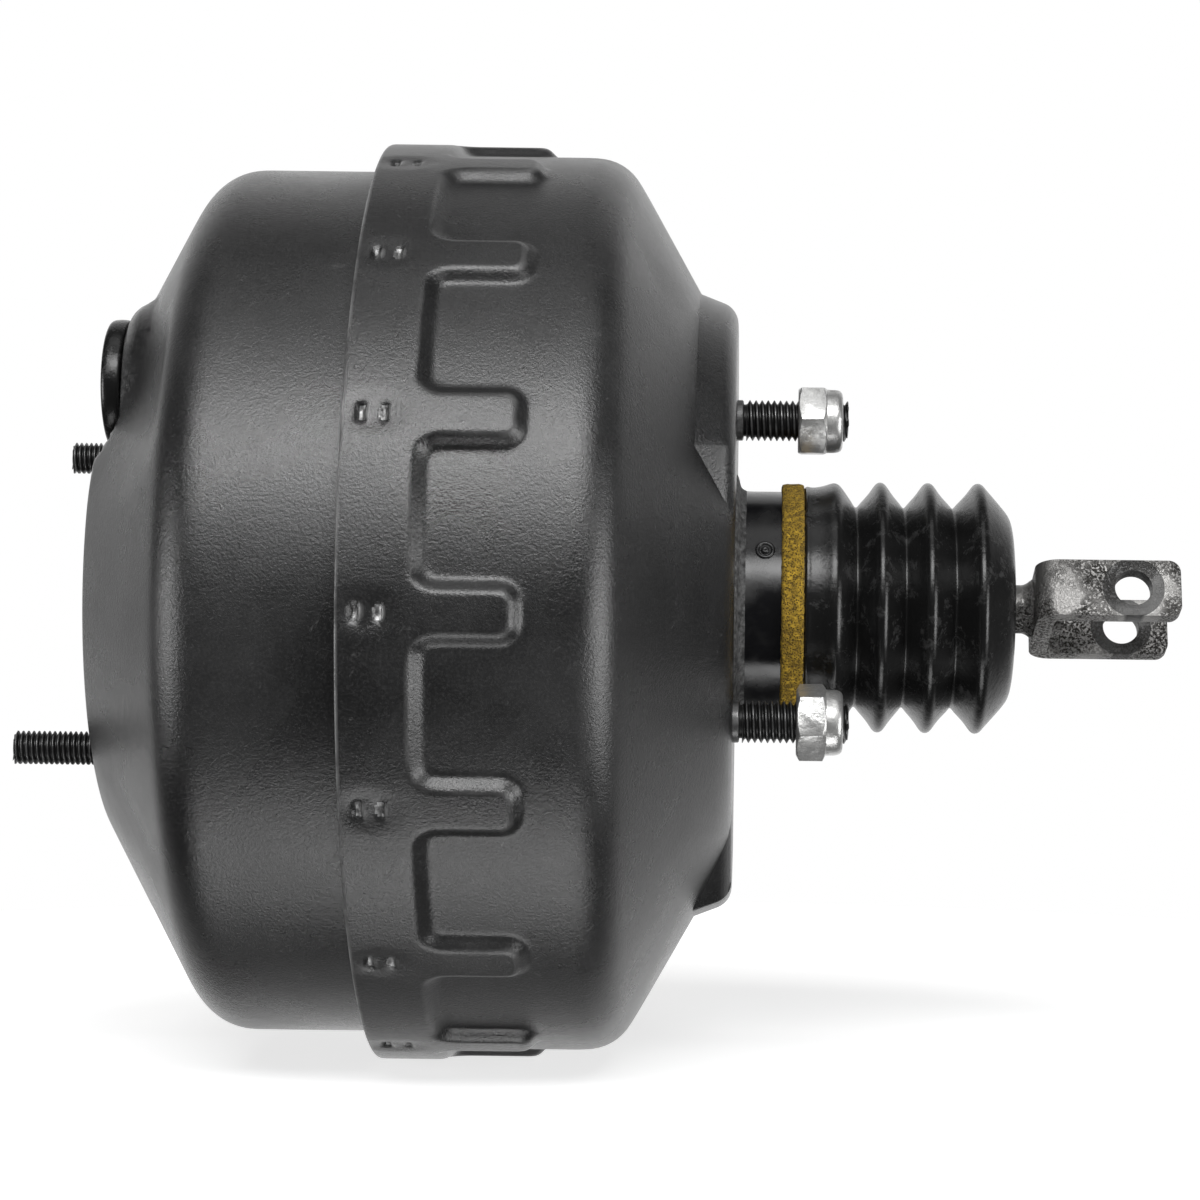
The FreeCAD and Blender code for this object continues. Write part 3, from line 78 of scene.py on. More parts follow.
# Lengths in mm
LENGTHS = {
    "band_radius": (112.3, "Outside of the rear shell's rim band"),
    "drum_radius": (109.6, "Outside of the rear shell behind its band"),
    "seam": (-84.6, "Front edge of the rear shell"),
    "band_end": (-66.6, "Rear edge of the band between two fingers"),
    "shoulder": (-27.7, "Corner where the drum turns into the cone"),
    "shoulder_bend": (12.0, "Radius of the rear shell's shoulder"),
    "face_radius": (60.6, "Radius at which the cone meets the mounting plane"),
    "neck_radius": (28.4, "Outside of the neck"),
    "neck_end": (24.0, "End of the neck inside the boot"),
    "wall": (2.0, "Thickness of the pressed sheet"),
    "finger_end": (-45.7, "Tip of the fingers that run back from the band"),
    "lance_depth": (1.0, "How far the torn lances are sunk"),
    "pad_radius": (73.3, "Outline of the raised stud pad"),
    "pad_flat": (45.6, "Distance of the pad's flats from the axis"),
    "pad_bend": (3.5, "Rounding of the pad's edge"),
    "front": (-149.5, "Plane of the front face"),
    "front_radius": (105.6, "Outside of the front shell's drum"),
    "front_shoulder": (-122.9, "Corner of the front shell's drum and cone"),
    "front_bend": (13.0, "Radius of the front shell's shoulder"),
    "front_face": (59.1, "Radius of the flat front face"),
    "flange": (-78.8, "Front face of the front shell's flange"),
    "flange_radius": (110.0, "Outside of the front shell's flange"),
    "bore": (25.0, "Hole for the master cylinder"),
    "boss_side": (-40.0, "Sideways place of the vacuum boss"),
    "boss_height": (50.0, "Height of the vacuum boss"),
    "boss_radius": (19.4, "Radius of the vacuum boss"),
    "boss_face": (-142.4, "Plane of the vacuum boss"),
    "boss_bend": (6.0, "Rounding of the boss's edge"),
    "boss_seat": (17.3, "Radius of the seat that is sunk in the front face"),
    "port_radius": (12.7, "Hole for the vacuum grommet"),
    "front_wall": (1.0, "Thickness of the front shell's sheet"),
    "rear_pitch": (46.0, "Radius of the three firewall studs"),
    "front_pitch": (47.0, "Radius of the two master cylinder studs"),
    "rear_tip": (27.3, "End of the firewall studs"),
    "front_tip": (-171.0, "End of the master cylinder studs"),
    "nut_start": (15.0, "Face of the nuts that looks at the shell"),
    "nut_flats": (16.0, "Width of the nuts across their flats"),
    "nut_hex": (7.0, "Length of the nuts' hexagon"),
    "nut_length": (11.0, "Length of the nuts with their collar"),
    "foam_start": (11.2, "Front face of the foam ring"),
    "foam_end": (16.7, "Rear face of the foam ring"),
    "foam_radius": (30.3, "Outside of the foam ring"),
    "boot_start": (16.8, "Mouth of the dust boot"),
    "boot_peak": (31.0, "Outside of the boot's folds"),
    "boot_valley": (24.7, "Inside of the boot's folds"),
    "pin_place": (97.0, "Centre of the clevis pin's holes"),
    "washer_radius": (7.7, "Radius of the mark that a washer left"),
    "fork_start": (73.6, "Face of the fork that looks at the rod's shoulder"),
}
# Angles in degrees
ANGLES = {
    "finger_turn": (1.2, "Turn of the first finger from the top"),
    "pad_draft": (21, "Slope of the pad's wall"),
    "rear_turn": (6.5, "Turn of the first firewall stud"),
    "front_turn": (-40.2, "Turn of the first master cylinder stud"),
    "fork_turn": (-20.5, "Turn of the fork about its rod"),
}
# Colours as red, green and blue
COLOURS = {
    "coat": ((0.009, 0.009, 0.0092), "Black coat of the shells"),
    "coat_worn": ((0.02, 0.02, 0.0204), "Rubbed and dusty coat"),
    "gloss": ((0.006, 0.006, 0.007), "Glossy paint of the neck"),
    "bare": ((0.55, 0.55, 0.55), "Torn and rubbed bare steel"),
    "oxide": ((0.02, 0.02, 0.02), "Studs"),
    "zinc": ((0.74, 0.74, 0.73), "Zinc plate of the nuts"),
    "zinc_dull": ((0.28, 0.28, 0.275), "Stained zinc plate"),
    "rubber": ((0.007, 0.007, 0.007), "Rubber of the boot and the grommet"),
    "dust": ((0.075, 0.075, 0.075), "Grey dust on rubber"),
    "foam": ((0.60, 0.38, 0.034), "Ochre foam of the ring"),
    "foam_pore": ((0.10, 0.06, 0.008), "Shadow in the foam's pores"),
    "fork": ((0.36, 0.355, 0.345), "Pitted plate of the fork"),
    "nylon": ((0.55, 0.55, 0.5), "Ring in the nuts"),
    "backdrop": ((1.0, 1.0, 1.0), "Floor and background"),
}


def titled(name):
    return name.replace("_", " ").capitalize()


class BoosterShape(bpy.types.PropertyGroup):
    """Sizes of the pieces that are modelled here"""

    __annotations__ = {
        name: FloatProperty(name=titled(name), description=text, default=value * MM, unit="LENGTH", precision=5)
        for name, (value, text) in LENGTHS.items()
    } | {
        name: FloatProperty(name=titled(name), description=text, default=math.radians(value), subtype="ANGLE")
        for name, (value, text) in ANGLES.items()
    } | {
        "fingers": IntProperty(name="Fingers", description="Fingers round the band", default=16, min=3)
    }


class BoosterColours(bpy.types.PropertyGroup):
    """Colours of the booster and its backdrop"""

    __annotations__ = {
        name: FloatVectorProperty(
            name=titled(name), description=text, default=(*value, 1), size=4, subtype="COLOR", min=0, max=1
        )
        for name, (value, text) in COLOURS.items()
    }


def shape():
    return bpy.context.scene.booster_shape


def colours():
    return bpy.context.scene.booster_colours


# Picking and shaping


def mode(name):
    bpy.ops.object.mode_set(mode=name)


def leave():
    """Object mode with nothing selected."""
    if bpy.context.object and bpy.context.object.mode != "OBJECT":
        mode("OBJECT")
    bpy.ops.object.select_all(action="DESELECT")


def only(obj):
    leave()
    obj.select_set(True)
    bpy.context.view_layer.objects.active = obj


def edit_all(obj):
    """Edit mode with the whole of one piece selected."""
    only(obj)
    mode("EDIT")
    bpy.ops.mesh.select_all(action="SELECT")


def pick(obj, test, kind="VERT"):
    """In edit mode, selects the vertices, or the edges with both ends, that pass the test."""
    mode("EDIT")
    bpy.ops.mesh.select_mode(type=kind)
    bpy.ops.mesh.select_all(action="DESELECT")
    mode("OBJECT")
    points = obj.data.vertices
    if kind == "VERT":
        for item in points:
            item.select = bool(test(item.co))
    else:
        for item in obj.data.edges:
            item.select = all(test(points[index].co) for index in item.vertices)
    mode("EDIT")


def widen(factor, centre):
    bpy.ops.transform.resize(value=(1, factor, factor), center_override=centre)


def finish_mesh(obj, merge=1e-5):
    """Merges doubles and turns every face outwards."""
    edit_all(obj)
    bpy.ops.mesh.remove_doubles(threshold=merge)
    bpy.ops.mesh.select_all(action="SELECT")
    bpy.ops.mesh.normals_make_consistent(inside=False)
    mode("OBJECT")


def modifier(obj, kind, **settings):
    only(obj)
    made = obj.modifiers.new(kind.title(), kind)
    for key, value in settings.items():
        setattr(made, key, value)
    bpy.ops.object.modifier_apply(modifier=made.name)


def subdivided(obj):
    modifier(obj, "SUBSURF", levels=1, render_levels=1)


def pushed(obj, weights, ways):
    """Moves each vertex by its weight in every way, which is an axis and a distance."""
    names = [f"Way {index}" for index in range(len(ways))]
    groups = [obj.vertex_groups.new(name=name) for name in names]
    for item in obj.data.vertices:
        for index, weight in weights(item.co):
            groups[index].add([item.index], weight, "REPLACE")
    for name, (axis, distance) in zip(names, ways):
        modifier(obj, "DISPLACE", direction=axis, strength=distance, mid_level=0, vertex_group=name)
    obj.vertex_groups.clear()


def bored(obj, radius, place):
    """Cuts a round hole along X through a piece."""
    leave()
    bpy.ops.mesh.primitive_cylinder_add(
        vertices=72, radius=radius, depth=40 * MM, location=place, rotation=ALONG_X,
    )
    bore = bpy.context.object
    modifier(obj, "BOOLEAN", operation="DIFFERENCE", object=bore, solver="EXACT")
    bpy.data.objects.remove(bore)


def cut(obj, place, outwards):
    """Cuts off what lies beyond a plane and closes the cut."""
    edit_all(obj)
    bpy.ops.mesh.bisect(plane_co=place, plane_no=outwards, use_fill=True, clear_outer=True)
    mode("OBJECT")


def smooth(obj, angle):
    only(obj)
    bpy.ops.object.shade_smooth_by_angle(angle=math.radians(angle))


def settle(obj):
    """Applies the object's place, so that it sits at the origin."""
    only(obj)
    bpy.ops.object.transform_apply(location=True, rotation=True, scale=True)


def offsets(x, radius, *pairs):
    """Points of a section, given in mm from a place along X and a radius."""
    return [(x + along * MM, radius + out * MM) for along, out in pairs]


def run(places):
    """Pairs for offsets that keep to one radius."""
    return [(place, 0) for place in places]


def outline(name, points):
    """A chain of edges above the axis through the points of a section."""
    leave()
    bpy.ops.mesh.primitive_plane_add(size=MM, location=(points[0][0], 0, points[0][1]))
    obj = bpy.context.object
    obj.name = name
    settle(obj)
    mode("EDIT")
    bpy.ops.mesh.select_mode(type="VERT")
    bpy.ops.mesh.select_all(action="SELECT")
    bpy.ops.mesh.merge(type="CENTER")
    for (x, radius), (next_x, next_radius) in zip(points, points[1:]):
        step = (next_x - x, 0, next_radius - radius)
        bpy.ops.mesh.extrude_region_move(TRANSFORM_OT_translate={"value": step})
    mode("OBJECT")
    return obj


def lathe(name, points, count, side=0.0, up=0.0):
    """A turned piece about a line along X: a circle extruded from ring to ring along its section."""
    (x, radius), rest = points[0], points[1:]
    leave()
    bpy.ops.mesh.primitive_circle_add(vertices=count, radius=radius, location=(x, side, up), rotation=ALONG_X)
    obj = bpy.context.object
    obj.name = name
    settle(obj)
    edit_all(obj)
    for next_x, next_radius in rest:
        bpy.ops.mesh.extrude_region_move(TRANSFORM_OT_translate={"value": (next_x - x, 0, 0)})
        widen(next_radius / radius, (next_x, side, up))
        x, radius = next_x, next_radius
    mode("OBJECT")
    return obj


def turned(name, points, count, side=0.0, up=0.0):
    """A turned piece with a smoothed section."""
    obj = lathe(name, points, count, side, up)
    finish_mesh(obj)
    subdivided(obj)
    return obj


def capped(obj):
    """Closes every open rim with a face."""
    only(obj)
    mode("EDIT")
    bpy.ops.mesh.select_mode(type="EDGE")
    bpy.ops.mesh.select_all(action="DESELECT")
    bpy.ops.mesh.select_non_manifold(
        use_wire=False, use_boundary=True, use_multi_face=False, use_non_contiguous=False
    )
    bpy.ops.mesh.edge_face_add()
    finish_mesh(obj)


def placed_round(model, radius, turn, own_turn=0.0):
    """A copy set off the axis at a turn that counts from the top, and turned about itself."""
    only(model)
    bpy.ops.object.duplicate(linked=False)
    made = bpy.context.object
    made.location = (0, -radius * math.sin(turn), radius * math.cos(turn))
    made.rotation_euler = (own_turn, 0, 0)
    settle(made)
    return made


def joined(name, *parts):
    leave()
    for part in parts:
        part.select_set(True)
    bpy.context.view_layer.objects.active = parts[0]
    bpy.ops.object.join()
    made = bpy.context.object
    made.name = name
    return made


def cad_copy(node, name):
    """A copy of a CAD piece with its loose triangles merged."""
    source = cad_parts[node]
    made = bpy.data.objects.new(name, source.data.copy())
    bpy.context.scene.collection.objects.link(made)
    finish_mesh(made, 2e-5)
    return made


def dress(obj, *materials):
    obj.data.materials.clear()
    for material in materials:
        obj.data.materials.append(material)


def dress_faces(obj, index, test):
    for face in obj.data.polygons:
        if test(face.center):
            face.material_index = index


# Materials


class Tree:
    """A node tree under construction."""

    def __init__(self, tree):
        self.tree = tree

    def feed(self, socket, value):
        """Links a node's output to an input, or sets a fixed value there."""
        if isinstance(value, bpy.types.NodeSocket):
            self.tree.links.new(value, socket)
        else:
            socket.default_value = value

    def node(self, kind, values=None, **settings):
        made = self.tree.nodes.new(kind)
        for key, value in settings.items():
            setattr(made, key, value)
        for key, value in (values or {}).items():
            self.feed(made.inputs[key], value)
        return made

    def span(self, source, low, high, start=0.0, end=1.0):
        return self.node("ShaderNodeMapRange", {0: source, 1: low, 2: high, 3: start, 4: end}).outputs[0]

    def mixed(self, share, one, two):
        return self.node("ShaderNodeMix", {0: share, 6: one, 7: two}, data_type="RGBA").outputs[2]

    def maths(self, kind, one, two):
        return self.node("ShaderNodeMath", {0: one, 1: two}, operation=kind).outputs[0]

    def times(self, one, two):
        return self.maths("MULTIPLY", one, two)


class Look(Tree):
    """A node material under construction."""

    def __init__(self, name):
        self.material = bpy.data.materials.new(name)
        self.material.use_nodes = True
        super().__init__(self.material.node_tree)
        self.shader = self.tree.nodes["Principled BSDF"]
        self.place = self.node("ShaderNodeTexCoord").outputs["Object"]

    def noise(self, scale, detail=4.0, rough=0.6, distort=0.0):
        values = {"Vector": self.place, "Scale": scale, "Detail": detail}
        values |= {"Roughness": rough, "Distortion": distort}
        return self.node("ShaderNodeTexNoise", values).outputs["Fac"]

    def edges(self, low, high):
        """Share of worn edge, from how sharply the surface turns out."""
        return self.span(self.node("ShaderNodeNewGeometry").outputs["Pointiness"], low, high)

    def put(self, name, value):
        """Feeds an input of the shader."""
        self.feed(self.shader.inputs[name], value)

    def colour(self, share, one, two):
        self.put("Base Color", self.mixed(share, one, two))

    def rough(self, share, low, high):
        self.put("Roughness", self.span(share, 0, 1, low, high))

    def bump(self, source, strength, distance):
        values = {"Height": source, "Strength": strength, "Distance": distance}
        self.put("Normal", self.node("ShaderNodeBump", values).outputs[0])


def grey(value):
    return (value, value, value, 1)


@cache
def coat(rubbed=True):
    """Satin black coat of the pressed shells, with fine mottling and, where asked, rubbed edges."""
    look = Look("Satin coat" if rubbed else "Pad coat")
    cloud = look.span(look.noise(26, 5, 0.62), 0.38, 0.7)
    fine = look.noise(1500, 3, 0.75)
    base = look.mixed(cloud, colours().coat, colours().coat_worn)
    speck = look.span(look.noise(1700, 2, 0.6), 0.45, 0.75, 0.0, 0.25)
    base = look.mixed(speck, base, grey(0.08))
    scuff = look.span(look.noise(180, 6, 0.75, 1.5), 0.62, 0.72, 0.0, 0.55)
    wear = look.times(scuff, 0.4)
    if rubbed:
        edge = look.times(look.edges(0.51, 0.545), look.span(look.noise(90, 4), 0.3, 0.6, 0.2, 1.0))
        wear = look.maths("MAXIMUM", wear, look.times(edge, 0.8))
    look.colour(wear, base, grey(0.26))
    look.rough(cloud, 0.24, 0.36)
    look.put("Specular IOR Level", 0.8)
    look.bump(look.maths("ADD", fine, look.times(look.noise(260, 3), 0.3)), 0.38, 0.0004)
    return look.material


@cache
def gloss():
    """Glossy black paint of the neck, with greasy clouds."""
    look = Look("Neck gloss")
    cloud = look.span(look.noise(60, 4, 0.6), 0.45, 0.7)
    look.colour(cloud, colours().gloss, grey(0.03))
    look.rough(cloud, 0.2, 0.38)
    look.bump(look.noise(220, 3), 0.15, 0.0003)
    return look.material


@cache
def sealant():
    """Grainy grey-black band where the neck leaves the face."""
    look = Look("Sealant grain")
    grain = look.noise(700, 5, 0.75)
    share = look.span(grain, 0.4, 0.65)
    look.colour(share, grey(0.02), grey(0.16))
    look.put("Roughness", 0.7)
    look.bump(grain, 0.8, 0.0006)
    return look.material


@cache
def bare():
    """Torn bright steel."""
    look = Look("Bare steel")
    share = look.span(look.noise(500, 4), 0.3, 0.7)
    look.colour(share, grey(0.04), colours().bare)
    look.put("Metallic", 1.0)
    look.put("Roughness", 0.48)
    look.bump(look.noise(600, 4), 0.6, 0.0006)
    return look.material


@cache
def oxide():
    """Black oxide of the studs, rubbed on the crests."""
    look = Look("Black oxide")
    rub = look.times(look.edges(0.52, 0.6), look.span(look.noise(350, 4), 0.35, 0.6, 0.2, 1.0))
    look.colour(rub, colours().oxide, grey(0.3))
    look.put("Metallic", 0.6)
    look.rough(look.span(look.noise(200, 3), 0.3, 0.7), 0.3, 0.5)
    look.bump(look.noise(900, 3), 0.3, 0.0002)
    return look.material


@cache
def zinc():
    """Zinc plate with dull stains and small dents."""
    look = Look("Zinc plate")
    stain = look.span(look.noise(230, 6, 0.75, 0.3), 0.46, 0.72)
    look.colour(stain, colours().zinc, colours().zinc_dull)
    look.put("Metallic", 0.85)
    look.rough(stain, 0.3, 0.6)
    look.bump(look.noise(420, 5, 0.6), 0.4, 0.0004)
    return look.material


@cache
def rubber():
    """Black rubber with a bloom of dust."""
    look = Look("Boot rubber")
    dust = look.span(look.noise(190, 7, 0.78, 0.3), 0.54, 0.78)
    crest = look.times(look.edges(0.53, 0.6), look.span(look.noise(400, 4), 0.4, 0.6, 0.1, 0.7))
    dust = look.maths("MAXIMUM", dust, crest)
    look.colour(dust, colours().rubber, colours().dust)
    look.rough(dust, 0.24, 0.55)
    look.bump(look.noise(500, 5, 0.7), 0.3, 0.0004)
    return look.material


@cache
def foam():
    """Open-pored ochre foam."""
    look = Look("Ochre foam")
    cells = look.node("ShaderNodeTexVoronoi", {"Vector": look.place, "Scale": 2000})
    pores = look.span(cells.outputs["Distance"], 0.25, 0.5)
    tone = look.span(look.noise(600, 5, 0.7), 0.38, 0.62)
    share = look.times(pores, look.span(tone, 0, 1, 0.2, 1.0))
    look.colour(share, colours().foam_pore, colours().foam)
    look.put("Roughness", 0.92)
    look.bump(look.maths("ADD", pores, tone), 0.7, 0.0008)
    return look.material


@cache
def fork_steel(marked=False):
    """Steel plate with grainy dark pits; the fork's also keeps the dark ring that a washer left."""
    look = Look("Fork steel" if marked else "Rod steel")
    patch = look.span(look.noise(75, 3, 0.55), 0.42, 0.56, 0.12, 1.0)
    grain = look.span(look.noise(1500, 3, 0.7), 0.44, 0.56)
    pits = look.times(patch, grain)
    soft = look.span(look.noise(38, 3), 0.35, 0.65)
    base = look.mixed(soft, colours().fork, (0.22, 0.216, 0.21, 1))
    if marked:
        s = shape()
        middle = (s.pin_place, 0, 0)
        offset = look.node("ShaderNodeVectorMath", {0: look.place, 1: middle}, operation="SUBTRACT")
        pin = (0, math.cos(s.fork_turn), math.sin(s.fork_turn))
        across = look.node("ShaderNodeVectorMath", {0: offset.outputs[0], 1: pin}, operation="CROSS_PRODUCT")
        reach = look.node("ShaderNodeVectorMath", {0: across.outputs[0]}, operation="LENGTH")
        edge = s.washer_radius
        disc = look.span(reach.outputs["Value"], edge, edge - 0.25 * MM)
        inner = look.span(reach.outputs["Value"], edge - 0.3 * MM, edge - 0.6 * MM)
        rim = look.maths("SUBTRACT", disc, inner)
        dark = look.maths("MAXIMUM", look.times(disc, 0.9), rim)
        base = look.mixed(dark, base, grey(0.05))
        pits = look.times(pits, look.span(dark, 0, 1, 1.0, 0.5))
    look.colour(pits, base, (0.035, 0.033, 0.03, 1))
    look.put("Metallic", 0.8)
    look.rough(pits, 0.42, 0.65)
    height = look.maths("SUBTRACT", look.times(look.noise(700, 3), 0.35), pits)
    look.bump(height, 0.6, 0.0005)
    return look.material


@cache
def plain(name, tone, metal=0.0, rough=0.5, grain=300.0, depth=0.25):
    """A simple material with a soft change of tone and fine grain."""
    look = Look(name)
    share = look.span(look.noise(grain / 5, 4), 0.35, 0.7)
    dark = tuple(value * 0.7 for value in tone[:3]) + (1,)
    look.colour(share, tone, dark)
    look.put("Metallic", metal)
    look.rough(share, rough, min(rough + 0.15, 1))
    look.bump(look.noise(grain, 4), depth, 0.0003)
    return look.material


# Rear shell


# Rows of the rear shell's section, in mm from the seam, from the band's end and from the fingers' tip
BAND_ROWS = (1.6, 2.9, 3.6, 4.3, 5.0, 5.7, 6.8, 8.2, 9.2, 9.8, 10.5, 11.4, 12.8)
RAMP_ROWS = (-3.2, -2.3, -1.5, -0.6, 0.4, 1.4, 2.4, 4.0)
DRUM_ROWS = (-13.5, -10.5, -7.5, -5.4, -4.2, -3.2, -2.2, -1.2, -0.2, 0.8, 1.8, 3.4, 6.5)
# The cone's rows as shares of the way to the shoulder, the face's radii and the neck's rows in mm
CONE_ROWS = (0.72, 0.55, 0.38, 0.2, 0.06)
FACE_RINGS = (52, 42, 34)
NECK_ROWS = (5, 9, 14, 19)
# Columns of one finger's share, in degrees from its middle line
COLUMNS = (0.0, 0.55, 1.2, 1.7, 2.15, 2.6, 3.05, 3.5, 3.95, 4.6, 6.0, 8.4)
# Half width of a lance, and the height that tells the band's outside from its inside
LANCE_TURN = math.radians(0.7)
LANCE_FLOOR = 105 * MM
# Directions of the pad's two flats, in degrees
FLAT_TURNS = (202.3, -11.7)


def rear_section(s):
    """The rear shell's section, from the seam's lip to inside the neck, as places and radii."""
    slope = math.atan2(s.drum_radius - s.face_radius, -s.shoulder)
    back = s.shoulder_bend * math.tan(slope / 2)
    middle = (s.shoulder - back, s.drum_radius - s.shoulder_bend)
    section = offsets(s.seam, s.band_radius - s.wall, (4, 0), (0.25, 0), (0, 0.3))
    section += offsets(s.seam, s.band_radius, (0, -0.3), (0.25, 0), *run(BAND_ROWS))
    section += offsets(s.band_end, s.drum_radius, *run(RAMP_ROWS))
    section += offsets(s.finger_end, s.drum_radius, *run(DRUM_ROWS))
    for turn in (slope * step / 4 for step in range(5)):
        bend = (s.shoulder_bend * math.sin(turn), s.shoulder_bend * math.cos(turn))
        section.append((middle[0] + bend[0], middle[1] + bend[1]))
    for share in CONE_ROWS:
        section.append((s.shoulder * share, s.face_radius - s.shoulder * share * math.tan(slope)))
    section += offsets(0, s.face_radius, (0, -1.5)) + offsets(0, 0, *((0, radius) for radius in FACE_RINGS))
    section += offsets(0, s.neck_radius, (0, 2.4), (0.7, 0.6), (2.4, 0), *run(NECK_ROWS))
    section += offsets(s.neck_end, s.neck_radius, (-0.3, 0), (0, -0.4))
    section += offsets(s.neck_end, s.neck_radius - s.wall, (0, 0.3), (-0.4, 0), (-8, 0))
    return section


def rear_sector(s):
    """One finger's share of the rear shell, still without its finger and its lances."""
    obj = outline("Rear_shell_pressing", rear_section(s))
    half = 180 / s.fingers
    columns = COLUMNS + (half,)
    turns = [-value for value in reversed(columns)] + list(columns[1:])
    edit_all(obj)
    bpy.ops.transform.rotate(value=-math.radians(half), orient_axis="X", center_override=ORIGIN)
    for start, end in zip(turns, turns[1:]):
        bpy.ops.mesh.spin(steps=1, angle=math.radians(end - start), center=ORIGIN, axis=(1, 0, 0))
    mode("OBJECT")
    return obj


def shift(obj, low, high, depth, along=0.0):
    """Moves the lance's vertices, between two places in mm from the seam, down and along, in mm."""
    seam = shape().seam

    def inside(co):
        turn = math.atan2(abs(co.y), co.z)
        return low * MM <= co.x - seam <= high * MM and turn < LANCE_TURN and co.z > LANCE_FLOOR

    pick(obj, inside)
    bpy.ops.transform.translate(value=(along * MM, 0, -depth * MM))


def eased(value):
    value = min(max(value, 0.0), 1.0)
    return value * value * (3 - 2 * value)


def finger_height(s, x, side):
    """Share of the band's height at a place on the unrolled drum, with rounded corners."""
    half = 4.1 * MM
    root, tip = s.band_end - 3.0 * MM, s.finger_end - 2.0 * MM
    corner, wall = 2.0 * MM, 3.5 * MM
    across, along = side - half + corner, x - tip + corner
    outside = math.hypot(max(across, 0), max(along, 0)) + min(max(across, along), 0) - corner
    band = (x - root) * 0.8
    fillet = 5.5 * MM
    near, far = fillet - outside, fillet - band
    if near > 0 and far > 0:
        distance = fillet - math.hypot(near, far)
        distance = min(distance, outside, band)
    else:
        distance = min(outside, band)
    return 1 - eased(distance / wall)


def pressed(obj, share, rise):
    """Moves vertices out from the axis, or in, by their share of a rise."""

    def weights(co):
        amount = share(co)
        if amount > 0:
            radius = math.hypot(co.y, co.z)
            yield 0, amount * co.z / radius
            yield 1 if co.y < 0 else 2, amount * abs(co.y) / radius

    pushed(obj, weights, (("Z", rise), ("Y", -rise), ("Y", rise)))


def raise_finger(obj, s):
    """Lifts the band and its finger out of the drum, with rounded corners and edges."""

    def share(co):
        on_drum = abs(math.hypot(co.y, co.z) - s.drum_radius) < 0.01 * MM
        return finger_height(s, co.x, abs(co.y)) if on_drum and co.x < s.finger_end + 4 * MM else 0.0

    pressed(obj, share, s.band_radius - s.drum_radius)


def sink_lances(obj, s):
    """Sinks a soft dimple in the band, and in it the torn lance and the small punch with their lips."""
    middle = s.seam + 6.5 * MM

    def dimple(co):
        if math.hypot(co.y, co.z) < s.band_radius - 0.1 * MM:
            return 0.0
        return eased(1.25 - math.hypot((co.x - middle) / (7.5 * MM), co.y / (5.2 * MM)))

    pressed(obj, dimple, -0.45 * MM)
    shift(obj, 3.5, 5.1, s.lance_depth / MM)
    shift(obj, 5.6, 5.8, -0.35, -0.5)
    shift(obj, 9.1, 9.9, 0.75)
    shift(obj, 10.4, 10.6, -0.25, -0.2)


def rear_pressing(s):
    obj = rear_sector(s)
    raise_finger(obj, s)
    sink_lances(obj, s)
    share = 2 * math.pi / s.fingers
    edit_all(obj)
    bpy.ops.transform.rotate(value=-s.finger_turn, orient_axis="X", center_override=ORIGIN)
    bpy.ops.mesh.spin(
        steps=s.fingers - 1, dupli=True, angle=share * (s.fingers - 1), center=ORIGIN, axis=(1, 0, 0)
    )
    finish_mesh(obj)
    subdivided(obj)
    return obj


def stud_pad(s):
    """The raised pad behind the firewall: a drafted disc with two flats and a rounded edge."""
    deep = 14 * MM
    spread = deep * math.tan(s.pad_draft)
    sink = 0.02 * MM
    leave()
    bpy.ops.mesh.primitive_cone_add(
        vertices=160, radius1=s.pad_radius + spread, radius2=s.pad_radius, depth=deep,
        location=(-deep / 2 - sink, 0, 0), rotation=ALONG_X,
    )
    obj = bpy.context.object
    settle(obj)
    lean = math.cos(s.pad_draft)
    for turn in FLAT_TURNS:
        side, up = math.cos(math.radians(turn)), math.sin(math.radians(turn))
        cut(obj, (0, side * s.pad_flat, up * s.pad_flat), (math.sin(s.pad_draft), side * lean, up * lean))
    pick(obj, lambda co: co.x > -0.1 * MM, "EDGE")
    bpy.ops.mesh.bevel(offset=s.pad_bend, segments=6, affect="EDGES", clamp_overlap=False)
    finish_mesh(obj)
    bored(obj, s.neck_radius - 0.9 * MM, ORIGIN)
    return obj


def neck_foot(s):
    """The grainy band of sealant where the neck leaves the mounting face."""
    section = offsets(0, s.neck_radius, (0, 4.2), (0.5, 3.8), (0.9, 1.9), (1.2, 0.8), (2.0, 0.35), (2.7, 0.05))
    foot = turned("Neck foot", section, 96)
    dress(foot, sealant())
    return foot


def neck_pip(s):
    """A small pip in its ring, pressed in the neck's near side."""
    up = 13.4 * MM
    side = -math.sqrt(s.neck_radius ** 2 - up ** 2)
    tilt = math.atan2(up, -side)
    parts = []
    for radius, thick, sink in ((1.9, 0.55, 0.15), (0.45, 0.6, -0.1)):
        leave()
        place = (7.2 * MM, side + sink * MM, up)
        bpy.ops.mesh.primitive_torus_add(
            location=place, rotation=(math.pi / 2 - tilt, 0, 0), major_radius=radius * MM,
            minor_radius=thick * MM, major_segments=36, minor_segments=12,
        )
        part = bpy.context.object
        settle(part)
        dress(part, gloss())
        parts.append(part)
    return parts


